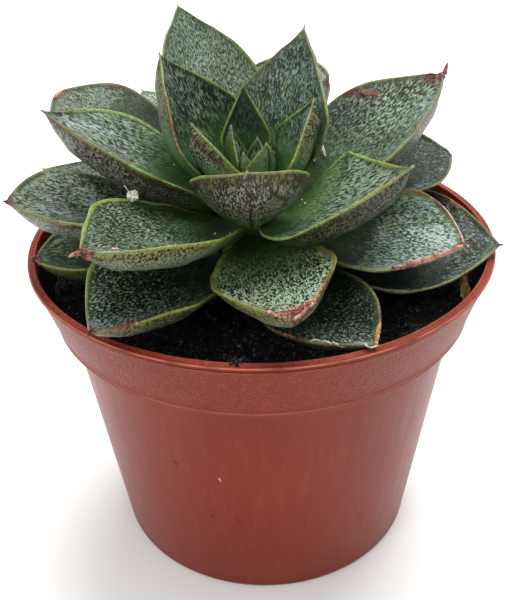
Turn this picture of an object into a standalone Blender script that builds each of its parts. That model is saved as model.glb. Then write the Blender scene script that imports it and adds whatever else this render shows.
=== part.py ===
"""Potted echeveria: a rosette of thick keeled leaves on a short stem, in a filled round plastic pot.

Metres, +Z up. The origin is the middle of the pot's underside, which stands on the ground at z = 0.
The side that shows best faces -Y: azimuth 0 is that side, and azimuth 90 is +X.
"""
from math import cos, exp, hypot, pi, radians, sin

import bmesh
import bpy

MM = 0.001
GAP = 0.3 * MM                      # left between pieces that touch

# Pot
POT_HEIGHT = 65.5 * MM
RIM_RADIUS = 45.0 * MM
RIM_INNER_RADIUS = 43.5 * MM
RIM_LIP = 2.4 * MM                  # height of the bead around the mouth
RIM_OVERHANG = 0.8 * MM             # how far the bead stands out from the collar
COLLAR_HEIGHT = 12.7 * MM           # from the rim down to the step
COLLAR_RADIUS = 41.2 * MM           # at the foot of the collar
STEP_SLOPE = 1.5 * MM               # height of the slope between collar and body
BODY_RADIUS = 38.6 * MM             # just under the step
BASE_RADIUS = 32.0 * MM
BASE_ROUNDING = 1.0 * MM
WALL = 1.2 * MM
FLOOR = 1.6 * MM
HOLE_COUNT = 8
HOLE_RADIUS = 3.2 * MM
HOLE_RING = 23.0 * MM
POT_SIDES = 72

# Soil
SOIL_LEVEL = 57.0 * MM
SOIL_RELIEF = 0.5 * MM
SOIL_SIDES = 48
SOIL_RING_COUNT = 7

# Stem
PLANT_X = -1.0 * MM                 # the plant stands a little left of the pot's middle
STEM_FOOT = 44.0 * MM               # its lower end, in the soil
NECK_RADIUS = 6.0 * MM              # where it passes through the soil
HEART_DOME = 1.5 * MM               # height of the stem's rounded top
STEM_SIDES = 24

# Leaf bases, ranked from the heart outwards: each lies a little lower and further out
TOP_BASE_HEIGHT = 76.8 * MM
LOW_BASE_HEIGHT = 60.1 * MM
INNER_BASE_RADIUS = 4.5 * MM
OUTER_BASE_RADIUS = 7.0 * MM
FULL_RADIUS_RANK = 12               # from this rank outwards every base is at the outer radius

# Leaf blade
BASE_SHARE = 0.34                   # width at the base, as a share of the full width
EDGE_THICKNESS = 0.7 * MM
TIP_THICKNESS = 0.8 * MM
KEEL = 0.12                         # height of the keel's ridge, as a share of the thickness
BODY_STATIONS = 11                  # along the blade, up to where its tip narrows
TIP_STATIONS = 5
KEEL_SHARE = 0.2                    # half width of the ridge, as a share of the blade's
UPPER_ACROSS = (-1, -0.55, 0, 0.55, 1)
LOWER_ACROSS = (1, 0.6, KEEL_SHARE, 0, -KEEL_SHARE, -0.6, -1)


def clear_scene():
    for item in list(bpy.data.objects):
        bpy.data.objects.remove(item, do_unlink=True)


def make_material(name, colour, roughness):
    material = bpy.data.materials.new(name)
    material.use_nodes = True
    shader = material.node_tree.nodes["Principled BSDF"]
    shader.inputs["Base Color"].default_value = (*colour, 1)
    shader.inputs["Roughness"].default_value = roughness
    shader.inputs["Metallic"].default_value = 0
    return material


def add_object(name, mesh_builder, material):
    """Turns a bmesh into a named object, its faces pointing out."""
    bmesh.ops.recalc_face_normals(mesh_builder, faces=mesh_builder.faces)
    mesh = bpy.data.meshes.new(name)
    mesh_builder.to_mesh(mesh)
    mesh_builder.free()
    if material:
        mesh.materials.append(material)
    mesh.shade_smooth()
    mesh.set_sharp_from_angle(angle=radians(40))
    item = bpy.data.objects.new(name, mesh)
    bpy.context.scene.collection.objects.link(item)
    return item


def clamp(value, low=0.0, high=1.0):
    return max(low, min(high, value))


# Turned pieces


def turned(profile, sides):
    """Spins (radius, height) points about the Z axis; both ends of the profile lie on it."""
    mesh_builder = bmesh.new()
    points = [mesh_builder.verts.new((radius, 0, height)) for radius, height in profile]
    edges = [mesh_builder.edges.new(pair) for pair in zip(points, points[1:])]
    bmesh.ops.spin(
        mesh_builder,
        geom=points + edges,
        axis=(0, 0, 1),
        cent=(0, 0, 0),
        angle=2 * pi,
        steps=sides,
        use_merge=True,
    )
    bmesh.ops.remove_doubles(mesh_builder, verts=mesh_builder.verts, dist=0.00001)
    return mesh_builder


def inner_wall(gap):
    """The pot's inside from its floor up to the foot of the collar, moved inwards by a gap."""
    step_top = POT_HEIGHT - COLLAR_HEIGHT
    lift = 0.6 * gap                # keeps the gap on the step's slope as well
    return [
        (BASE_RADIUS - WALL - gap, FLOOR + gap),
        (BODY_RADIUS - WALL - gap, step_top - STEP_SLOPE + lift),
        (COLLAR_RADIUS - WALL - gap, step_top + lift),
    ]


def collar_inner_radius(height):
    step_top = POT_HEIGHT - COLLAR_HEIGHT
    share = (height - step_top) / COLLAR_HEIGHT
    return COLLAR_RADIUS - WALL + share * (RIM_INNER_RADIUS - COLLAR_RADIUS + WALL)


def build_pot(material):
    step_top = POT_HEIGHT - COLLAR_HEIGHT
    lip_foot = POT_HEIGHT - RIM_LIP
    outside = [
        (0, 0),
        (BASE_RADIUS - BASE_ROUNDING, 0),
        (BASE_RADIUS - 0.3 * BASE_ROUNDING, 0.3 * BASE_ROUNDING),
        (BASE_RADIUS, BASE_ROUNDING),
        (BODY_RADIUS, step_top - STEP_SLOPE),
        (COLLAR_RADIUS, step_top),
        (RIM_RADIUS - RIM_OVERHANG, lip_foot),
    ]
    bead = [
        (RIM_RADIUS, lip_foot + 0.2 * RIM_LIP),
        (RIM_RADIUS, lip_foot + 0.7 * RIM_LIP),
        (RIM_RADIUS - 0.5 * MM, POT_HEIGHT),
        (RIM_INNER_RADIUS + 0.4 * MM, POT_HEIGHT),
        (RIM_INNER_RADIUS, POT_HEIGHT - 0.4 * MM),
    ]
    inside = list(reversed(inner_wall(0))) + [(0, FLOOR)]
    pot = add_object("pot", turned(outside + bead + inside, POT_SIDES), material)
    holes = bmesh.new()
    for number in range(HOLE_COUNT):
        turn = 2 * pi * (number + 0.5) / HOLE_COUNT
        hole = bmesh.ops.create_cone(
            holes,
            cap_ends=True,
            segments=16,
            radius1=HOLE_RADIUS,
            radius2=HOLE_RADIUS,
            depth=4 * FLOOR,
        )
        place = (HOLE_RING * cos(turn), HOLE_RING * sin(turn), FLOOR / 2)
        bmesh.ops.translate(holes, verts=hole["verts"], vec=place)
    cut(pot, add_object("drain_holes_cutter", holes, None))


def cut(item, cutter):
    cutter.hide_render = True
    cutter.display_type = "WIRE"
    modifier = item.modifiers.new("cut", "BOOLEAN")
    modifier.operation = "DIFFERENCE"
    modifier.solver = "EXACT"
    modifier.object = cutter


def build_soil(material):
    edge = collar_inner_radius(SOIL_LEVEL) - GAP
    rings = [
        (edge * (1 - number / SOIL_RING_COUNT), SOIL_LEVEL) for number in range(SOIL_RING_COUNT + 1)
    ]
    mesh_builder = turned([(0, FLOOR + GAP)] + inner_wall(GAP) + rings, SOIL_SIDES)
    for vertex in mesh_builder.verts:
        x, y, height = vertex.co
        if height > SOIL_LEVEL - GAP and hypot(x, y) < edge - GAP:
            waves = sin(310 * x + 1) * cos(270 * y) + 0.6 * sin(520 * y + 170 * x)
            vertex.co.z += 0.6 * SOIL_RELIEF * waves
    soil = add_object("soil", mesh_builder, material)
    hole = bmesh.new()
    bmesh.ops.create_cone(
        hole,
        cap_ends=True,
        segments=STEM_SIDES,
        radius1=NECK_RADIUS + GAP,
        radius2=NECK_RADIUS + GAP,
        depth=2 * (SOIL_LEVEL - STEM_FOOT + GAP),
    )
    bmesh.ops.translate(hole, verts=hole.verts, vec=(PLANT_X, 0, SOIL_LEVEL))
    cut(soil, add_object("stem_hole_cutter", hole, None))


# Leaves


def base_height(rank):
    return TOP_BASE_HEIGHT - (TOP_BASE_HEIGHT - LOW_BASE_HEIGHT) * rank / (len(LEAVES) - 1)


def base_radius(rank):
    spread = OUTER_BASE_RADIUS - INNER_BASE_RADIUS
    return INNER_BASE_RADIUS + spread * clamp(rank / FULL_RADIUS_RANK)


class Form:
    """The shape that leaves of one age share."""

    def __init__(self, cup, widest, tip_power, thickness):
        self.cup = cup                  # how far the margins rise, as a share of the half width
        self.widest = widest            # place of the full width along the blade
        self.tip_power = tip_power      # high for a round end, low for straight sides to the tip
        self.thickness = thickness * MM


class Leaf:
    """One blade: sizes in millimetres, angles in degrees."""

    def __init__(self, form, azimuth, rise, length, width, curl, roll=0, sway=0):
        self.form = form
        self.azimuth = radians(azimuth)
        self.rise = radians(rise)       # mean angle of the midrib above the horizontal
        self.length = length * MM
        self.width = width * MM
        self.curl = radians(curl)       # how much steeper the midrib ends than it starts
        self.roll = radians(roll)       # tilt about the midrib
        self.sway = radians(sway)       # sideways bend of the midrib
        self.base_radius = 0.0
        self.base_height = 0.0

    def angle(self, along):
        return self.rise + self.curl * (along - 0.5)

    def midrib(self, along, steps=30):
        """Outward, sideways and upward distance from the base."""
        out = side = up = 0.0
        for step in range(steps):
            middle = along * (step + 0.5) / steps
            turn = self.sway * (2 * middle - 1)
            stride = self.length * along / steps
            out += stride * cos(self.angle(middle)) * cos(turn)
            side += stride * cos(self.angle(middle)) * sin(turn)
            up += stride * sin(self.angle(middle))
        return out, side, up

    def half_width(self, along):
        """Widens from the base, then narrows to a small point."""
        widest = self.form.widest
        if along < widest:
            share = BASE_SHARE + (1 - BASE_SHARE) * sin(pi / 2 * along / widest) ** 1.1
        else:
            past = (along - widest) / (1 - widest)
            blade = max(0.0, 1 - (past / 0.965) ** self.form.tip_power)
            point = 0.05 * (1 - past) ** 0.7 * clamp(2 * past)
            share = min(1.0, hypot(blade, point))
        return self.width / 2 * share

    def thickness(self, along):
        fullness = 0.4 + 0.6 * sin(pi * clamp(along / 0.98)) ** 0.65
        taper = clamp((1 - along) / 0.2) ** 0.5
        return max(TIP_THICKNESS, self.form.thickness * fullness * taper)

    def cup(self, along):
        opening = clamp(along / 0.25, 0.25) * (1 - 0.35 * clamp((along - 0.75) / 0.25))
        return self.form.cup * opening

    def upper_height(self, along, across):
        """The channelled upper face, over the midrib's line."""
        return self.cup(along) * self.half_width(along) * across**2

    def lower_height(self, along, across):
        """The bulging underside with its keel."""
        thickness = self.thickness(along)
        bulge = (1 - abs(across) ** 2.3) ** 0.85 if abs(across) < 1 else 0.0
        ridge = KEEL * thickness * max(0.0, 1 - abs(across) / KEEL_SHARE)
        ridge *= clamp(along / 0.3) * clamp((1 - along) / 0.12)
        depth = EDGE_THICKNESS + (thickness - EDGE_THICKNESS) * bulge
        return self.upper_height(along, across) - depth - ridge

    def place(self, along, across, height):
        out, side, up = self.midrib(along)
        roll = self.roll * clamp(along / 0.5)
        aside = self.half_width(along) * across
        sideways = side + aside * cos(roll) - height * sin(roll)
        above = aside * sin(roll) + height * cos(roll)
        outward = self.base_radius + out - above * sin(self.angle(along))
        level = self.base_height + up + above * cos(self.angle(along))
        x = PLANT_X + outward * sin(self.azimuth) + sideways * cos(self.azimuth)
        y = -outward * cos(self.azimuth) + sideways * sin(self.azimuth)
        return x, y, level

    def mesh(self):
        body = [0.8 * number / BODY_STATIONS for number in range(BODY_STATIONS)]
        tip = [0.8 + 0.195 * number / (TIP_STATIONS - 1) for number in range(TIP_STATIONS)]
        mesh_builder = bmesh.new()
        rings = []
        for along in body + tip:
            upper = [self.place(along, v, self.upper_height(along, v)) for v in UPPER_ACROSS]
            lower = [self.place(along, v, self.lower_height(along, v)) for v in LOWER_ACROSS]
            rings.append([mesh_builder.verts.new(point) for point in upper + lower])
        for inner, outer in zip(rings, rings[1:]):
            for number in range(len(inner)):
                follow = (number + 1) % len(inner)
                mesh_builder.faces.new((inner[number], inner[follow], outer[follow], outer[number]))
        mesh_builder.faces.new(rings[0])
        point = mesh_builder.verts.new(self.place(1.0, 0, -TIP_THICKNESS / 2))
        for number, vertex in enumerate(rings[-1]):
            mesh_builder.faces.new((vertex, rings[-1][number - 1], point))
        return mesh_builder


# The plant's own leaves

BUD = Form(cup=0.30, widest=0.42, tip_power=1.1, thickness=2.0)
HEART = Form(cup=0.30, widest=0.42, tip_power=1.1, thickness=3.0)
RISING = Form(cup=0.28, widest=0.44, tip_power=1.25, thickness=4.4)
SPOON = Form(cup=0.32, widest=0.52, tip_power=1.85, thickness=4.6)
BLUNT = Form(cup=0.32, widest=0.62, tip_power=1.35, thickness=4.4)
BROAD = Form(cup=0.28, widest=0.65, tip_power=2.8, thickness=4.4)
LOW = Form(cup=0.17, widest=0.58, tip_power=2.0, thickness=4.0)

# The separate leaves, from the heart outwards
LEAVES = (
    Leaf(HEART, azimuth=-162, rise=88, length=17, width=10, curl=10, roll=-8),
    Leaf(HEART, azimuth=-50, rise=60, length=18, width=14, curl=5, roll=-18, sway=-12),
    Leaf(HEART, azimuth=91, rise=70, length=18, width=17, curl=5, roll=8, sway=4),
    Leaf(RISING, azimuth=-108, rise=64, length=28, width=26, curl=10, roll=-5, sway=-8),
    Leaf(SPOON, azimuth=-1.5, rise=35, length=32, width=20, curl=19, roll=3),
    Leaf(RISING, azimuth=147, rise=65, length=31, width=25, curl=14, roll=-10),
    Leaf(SPOON, azimuth=-82, rise=33, length=38, width=23, curl=4, roll=-2, sway=-14),
    Leaf(RISING, azimuth=47, rise=30, length=35.5, width=25, curl=26, roll=20.5, sway=27),
    Leaf(SPOON, azimuth=-152, rise=51, length=41, width=22, curl=12, roll=4, sway=8),
    Leaf(BLUNT, azimuth=-31.5, rise=18, length=45, width=22, curl=3, roll=-5.5),
    Leaf(SPOON, azimuth=107, rise=36, length=40, width=28, curl=16, roll=2),
    Leaf(BROAD, azimuth=-117, rise=26, length=43, width=22, curl=-2, roll=-8, sway=-7),
    Leaf(BLUNT, azimuth=7.5, rise=9.5, length=41, width=21, curl=18, roll=9, sway=3),
    Leaf(BROAD, azimuth=168, rise=29.5, length=42, width=21, curl=4, roll=-3),
    Leaf(BROAD, azimuth=-69, rise=19.5, length=42, width=23, curl=15, roll=-3, sway=13),
    Leaf(LOW, azimuth=54, rise=13.5, length=38, width=20, curl=-8, roll=23, sway=-8),
    Leaf(LOW, azimuth=-148, rise=20.5, length=44, width=20, curl=-9, roll=1, sway=12),
    Leaf(BROAD, azimuth=106, rise=17.5, length=37, width=21, curl=-16, roll=17, sway=-14),
    Leaf(LOW, azimuth=-108.5, rise=12.8, length=41, width=19, curl=2, roll=-2, sway=19),
    Leaf(LOW, azimuth=25, rise=4, length=39, width=19, curl=14, roll=11, sway=13),
    Leaf(LOW, azimuth=177, rise=15, length=43, width=23, curl=9),
    Leaf(BLUNT, azimuth=-31, rise=11, length=44, width=22, curl=2, roll=-5, sway=10),
    Leaf(LOW, azimuth=76, rise=8, length=41, width=29, curl=16, roll=15, sway=-15),
    Leaf(LOW, azimuth=-141, rise=9, length=39, width=20, curl=16, roll=-3),
    Leaf(BROAD, azimuth=-75, rise=9.3, length=37, width=20.5, curl=6, roll=0, sway=13),
    Leaf(LOW, azimuth=140, rise=11, length=41, width=23, curl=8, roll=-3),
)

# The smallest leaves, grown together with the stem's tip
HEART_LEAVES = (
    Leaf(BUD, azimuth=-105, rise=78, length=12, width=6.5, curl=12),
    Leaf(BUD, azimuth=29, rise=72, length=11, width=6.5, curl=14),
    Leaf(BUD, azimuth=160, rise=86, length=9, width=5.5, curl=8),
    Leaf(BUD, azimuth=-30, rise=76, length=8.5, width=5, curl=12),
    Leaf(BUD, azimuth=97, rise=82, length=8, width=4.5, curl=10),
)
HEART_LEAF_RADIUS = 1.5 * MM        # where their bases lie, sunk in the stem
HEART_LEAF_HEIGHT = 75.6 * MM


def build_leaves(material):
    for rank, leaf in enumerate(LEAVES):
        leaf.base_radius = base_radius(rank)
        leaf.base_height = base_height(rank)
        add_object(f"leaf_{rank + 1:02d}", leaf.mesh(), material)


# Stem


def build_stem(name, material):
    """The stem, with the heart's smallest leaves joined to its tip."""
    outermost = len(LEAVES) - 1
    shoulders = [(base_radius(rank) - GAP, base_height(rank)) for rank in range(outermost, 0, -3)]
    top_radius = INNER_BASE_RADIUS - GAP
    profile = [
        (0, STEM_FOOT),
        (0.8 * NECK_RADIUS, STEM_FOOT),
        (NECK_RADIUS, STEM_FOOT + 2 * MM),
        (NECK_RADIUS, SOIL_LEVEL + 2 * SOIL_RELIEF),
        *shoulders,
        (top_radius, TOP_BASE_HEIGHT),
        (0.6 * top_radius, TOP_BASE_HEIGHT + 0.7 * HEART_DOME),
        (0, TOP_BASE_HEIGHT + HEART_DOME),
    ]
    mesh_builder = turned(profile, STEM_SIDES)
    bmesh.ops.translate(mesh_builder, verts=mesh_builder.verts, vec=(PLANT_X, 0, 0))
    stem = add_object(name, mesh_builder, material)
    heart = bpy.data.collections.new("heart leaves")
    bpy.context.scene.collection.children.link(heart)
    for number, leaf in enumerate(HEART_LEAVES):
        leaf.base_radius = HEART_LEAF_RADIUS
        leaf.base_height = HEART_LEAF_HEIGHT
        item = add_object(f"heart_leaf_{number}", leaf.mesh(), material)
        heart.objects.link(item)
        bpy.context.scene.collection.objects.unlink(item)
    join(stem, heart)


def join(item, parts):
    """Makes one body of an object and a collection of others, which are then removed."""
    modifier = item.modifiers.new("join", "BOOLEAN")
    modifier.operation = "UNION"
    modifier.solver = "EXACT"
    modifier.operand_type = "COLLECTION"
    modifier.collection = parts
    bpy.context.view_layer.update()
    graph = bpy.context.evaluated_depsgraph_get()
    joined = bpy.data.meshes.new_from_object(item.evaluated_get(graph))
    item.modifiers.clear()
    item.data = joined
    for part in list(parts.objects):
        bpy.data.objects.remove(part, do_unlink=True)
    bpy.data.collections.remove(parts)


def main():
    clear_scene()
    build_pot(make_material("terracotta_plastic", (0.26, 0.07, 0.045), 0.45))
    build_soil(make_material("potting_soil", (0.008, 0.007, 0.006), 0.95))
    build_stem("stem_and_heart", make_material("young_leaf", (0.09, 0.16, 0.05), 0.5))
    build_leaves(make_material("leaf", (0.05, 0.09, 0.05), 0.5))


main()
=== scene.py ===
"""Looks of the potted echeveria: speckled, keeled leaves, dark soil and a terracotta-coloured plastic pot.

Metres, +Z up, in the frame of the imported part. The side that shows best faces -Y: azimuth 0 is that side.
"""
from math import cos, pi, radians, sin
from types import SimpleNamespace

import bmesh
import bpy
import numpy as np
from mathutils import Matrix, Vector, noise


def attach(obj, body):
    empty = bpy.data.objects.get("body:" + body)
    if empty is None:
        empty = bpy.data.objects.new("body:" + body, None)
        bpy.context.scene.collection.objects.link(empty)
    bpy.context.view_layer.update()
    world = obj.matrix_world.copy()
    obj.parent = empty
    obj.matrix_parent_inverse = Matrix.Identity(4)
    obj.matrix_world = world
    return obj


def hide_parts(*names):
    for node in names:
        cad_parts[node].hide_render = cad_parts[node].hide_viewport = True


MM = 0.001

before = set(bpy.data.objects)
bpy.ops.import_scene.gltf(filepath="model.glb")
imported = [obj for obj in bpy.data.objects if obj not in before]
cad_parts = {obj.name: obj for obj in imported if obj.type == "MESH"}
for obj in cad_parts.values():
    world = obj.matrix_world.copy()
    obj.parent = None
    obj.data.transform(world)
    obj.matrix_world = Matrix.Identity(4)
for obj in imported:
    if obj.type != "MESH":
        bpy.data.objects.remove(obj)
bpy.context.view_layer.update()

# Sizes shared with the part

POT_HEIGHT = 65.5 * MM
RIM_RADIUS = 45.0 * MM
RIM_INNER_RADIUS = 43.5 * MM
RIM_LIP = 2.4 * MM
RIM_OVERHANG = 0.8 * MM
COLLAR_HEIGHT = 12.7 * MM
COLLAR_RADIUS = 41.2 * MM
STEP_SLOPE = 1.5 * MM
BODY_RADIUS = 38.6 * MM
BASE_RADIUS = 32.0 * MM
WALL = 1.2 * MM
FLOOR = 1.6 * MM
HOLE_COUNT = 8
HOLE_RADIUS = 3.2 * MM
HOLE_RING = 23.0 * MM
SOIL_LEVEL = 57.0 * MM
GAP = 0.3 * MM

PLANT_X = -1.0 * MM
STEM_FOOT = 44.0 * MM
NECK_RADIUS = 6.0 * MM
TOP_BASE_HEIGHT = 76.8 * MM
LOW_BASE_HEIGHT = 60.1 * MM
INNER_BASE_RADIUS = 4.5 * MM
OUTER_BASE_RADIUS = 7.0 * MM
FULL_RADIUS_RANK = 12
HEART_DOME = 1.5 * MM
BASE_SHARE = 0.34
TIP_THICKNESS = 0.8 * MM
KEEL = 0.12
KEEL_SHARE = 0.2

# Finer blades: thinner at the margins and tips than the solids, and inside their outlines
FINE_EDGE = 0.45 * MM
FINE_TIP = 0.35 * MM
STATIONS = 96
ACROSS_UPPER = 34
ACROSS_LOWER = 40
ACROSS_EDGE = 5
LAST_STATION = 0.996
MIDRIB_STEPS = 600
OUTLINE_STEPS = 420
WAVE_COUNT = 7
WORN_LOSS = 0.018            # share of the length that a worn tip lacks
SEED_SHIFT = 37.0            # sets the patterns of two leaves apart
FAR = 99.0                   # a distance in millimetres beyond any on a leaf
NO_SCAR = -3.0               # depth inside a scar where there is none
# One kind among these is no scar: pale bluish patches that are painted sheen, that is painted highlights
SCAR_KINDS = ("crust", "cork", "bruise", "tan", "frost", "scratch")
BLADE_FIELDS = ("aside", "run", "across", "along", "face", "margin", "tip_distance", "half", "seed")

# What the fields say at the middle of a blade's base and at its very tip, where no ring gives them
BLADE_ENDS = {
    "across": (0, 0), "along": (0, 1), "face": (0.5, 0.5),
    "margin": (0, 0), "tip_distance": (30, 0), "half": (3, 0.1),
}

# What a leaf looks like unless its row says otherwise
USUAL_LOOKS = {
    "green": 0.3,           # fresh green of a young leaf
    "silver": 0.4,          # paleness of the flecks
    # Next: bluish patches, and dark bluish bare skin that is partly painted shade
    "cool_and_shade": 0.3,            # bluish patches
    "lime": 0.0,            # yellowish flecks and margin
    # The haze below is wax bloom and partly a painted reflection of the bright sky
    "bloom_and_sheen": 0.0,           # greyish haze towards the tip
    "cover": 0.0,           # more flecks, or fewer below 0
    "fine": 1.0,            # smaller flecks above 1
    "soft": 0.1,            # blurred flecks
    "bare": 0.0,            # share of the length, from the base, that has no flecks
    "red": 0.3,             # reddish tip, rim and dashes
    "brown": 0.5,           # dashes and pinkish skin underneath
    "flush": 0.45,          # where along the leaf the pinkish skin begins
    "rim": 1.0,             # width of the pale rim
    # The three shades below are painted shade: darker towards the tip, towards the base and underneath
    "tip_shade": 0.1,       # darker towards the tip, towards the base and underneath
    "base_shade": 0.1,
    "under_shade": 0.0,
}
SHADES = ("tip_shade", "base_shade", "under_shade")


class Form:
    """The shape that leaves of one age share."""

    def __init__(self, cup, widest, tip_power, thickness):
        self.cup = cup
        self.widest = widest
        self.tip_power = tip_power
        self.thickness = thickness * MM


class Leaf:
    """One blade: sizes in millimetres, angles in degrees.

    worn, drawn_out and nub shape the tip. A scar has a kind, a side (1 upper, 0 lower, 0.5 both), a place
    along and across as shares of the blade, and its reach along and across in millimetres.
    """

    # shade gives the painted shade at the tip, at the base and underneath, for leaves that lie in shadow
    def __init__(self, form, azimuth, rise, length, width, curl, roll=0, sway=0,
                 worn=0, drawn_out=0.0, nub=0.0, scars=(), shade=(0.1, 0.1, 0.0), **looks):
        self.form = form
        self.azimuth = radians(azimuth)
        self.rise = radians(rise)
        self.length = length * MM
        self.width = width * MM
        self.curl = radians(curl)
        self.roll = radians(roll)
        self.sway = radians(sway)
        self.worn = worn
        self.drawn_out = drawn_out
        self.nub = nub
        self.scars = scars
        self.looks = {**USUAL_LOOKS, **looks, **dict(zip(SHADES, shade))}
        self.base_radius = 0.0
        self.base_height = 0.0


BUD = Form(cup=0.30, widest=0.42, tip_power=1.1, thickness=2.0)
HEART = Form(cup=0.30, widest=0.42, tip_power=1.1, thickness=3.0)
RISING = Form(cup=0.28, widest=0.44, tip_power=1.25, thickness=4.4)
SPOON = Form(cup=0.32, widest=0.52, tip_power=1.85, thickness=4.6)
BLUNT = Form(cup=0.32, widest=0.62, tip_power=1.35, thickness=4.4)
BROAD = Form(cup=0.28, widest=0.65, tip_power=2.8, thickness=4.4)
LOW = Form(cup=0.17, widest=0.58, tip_power=2.0, thickness=4.0)

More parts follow.
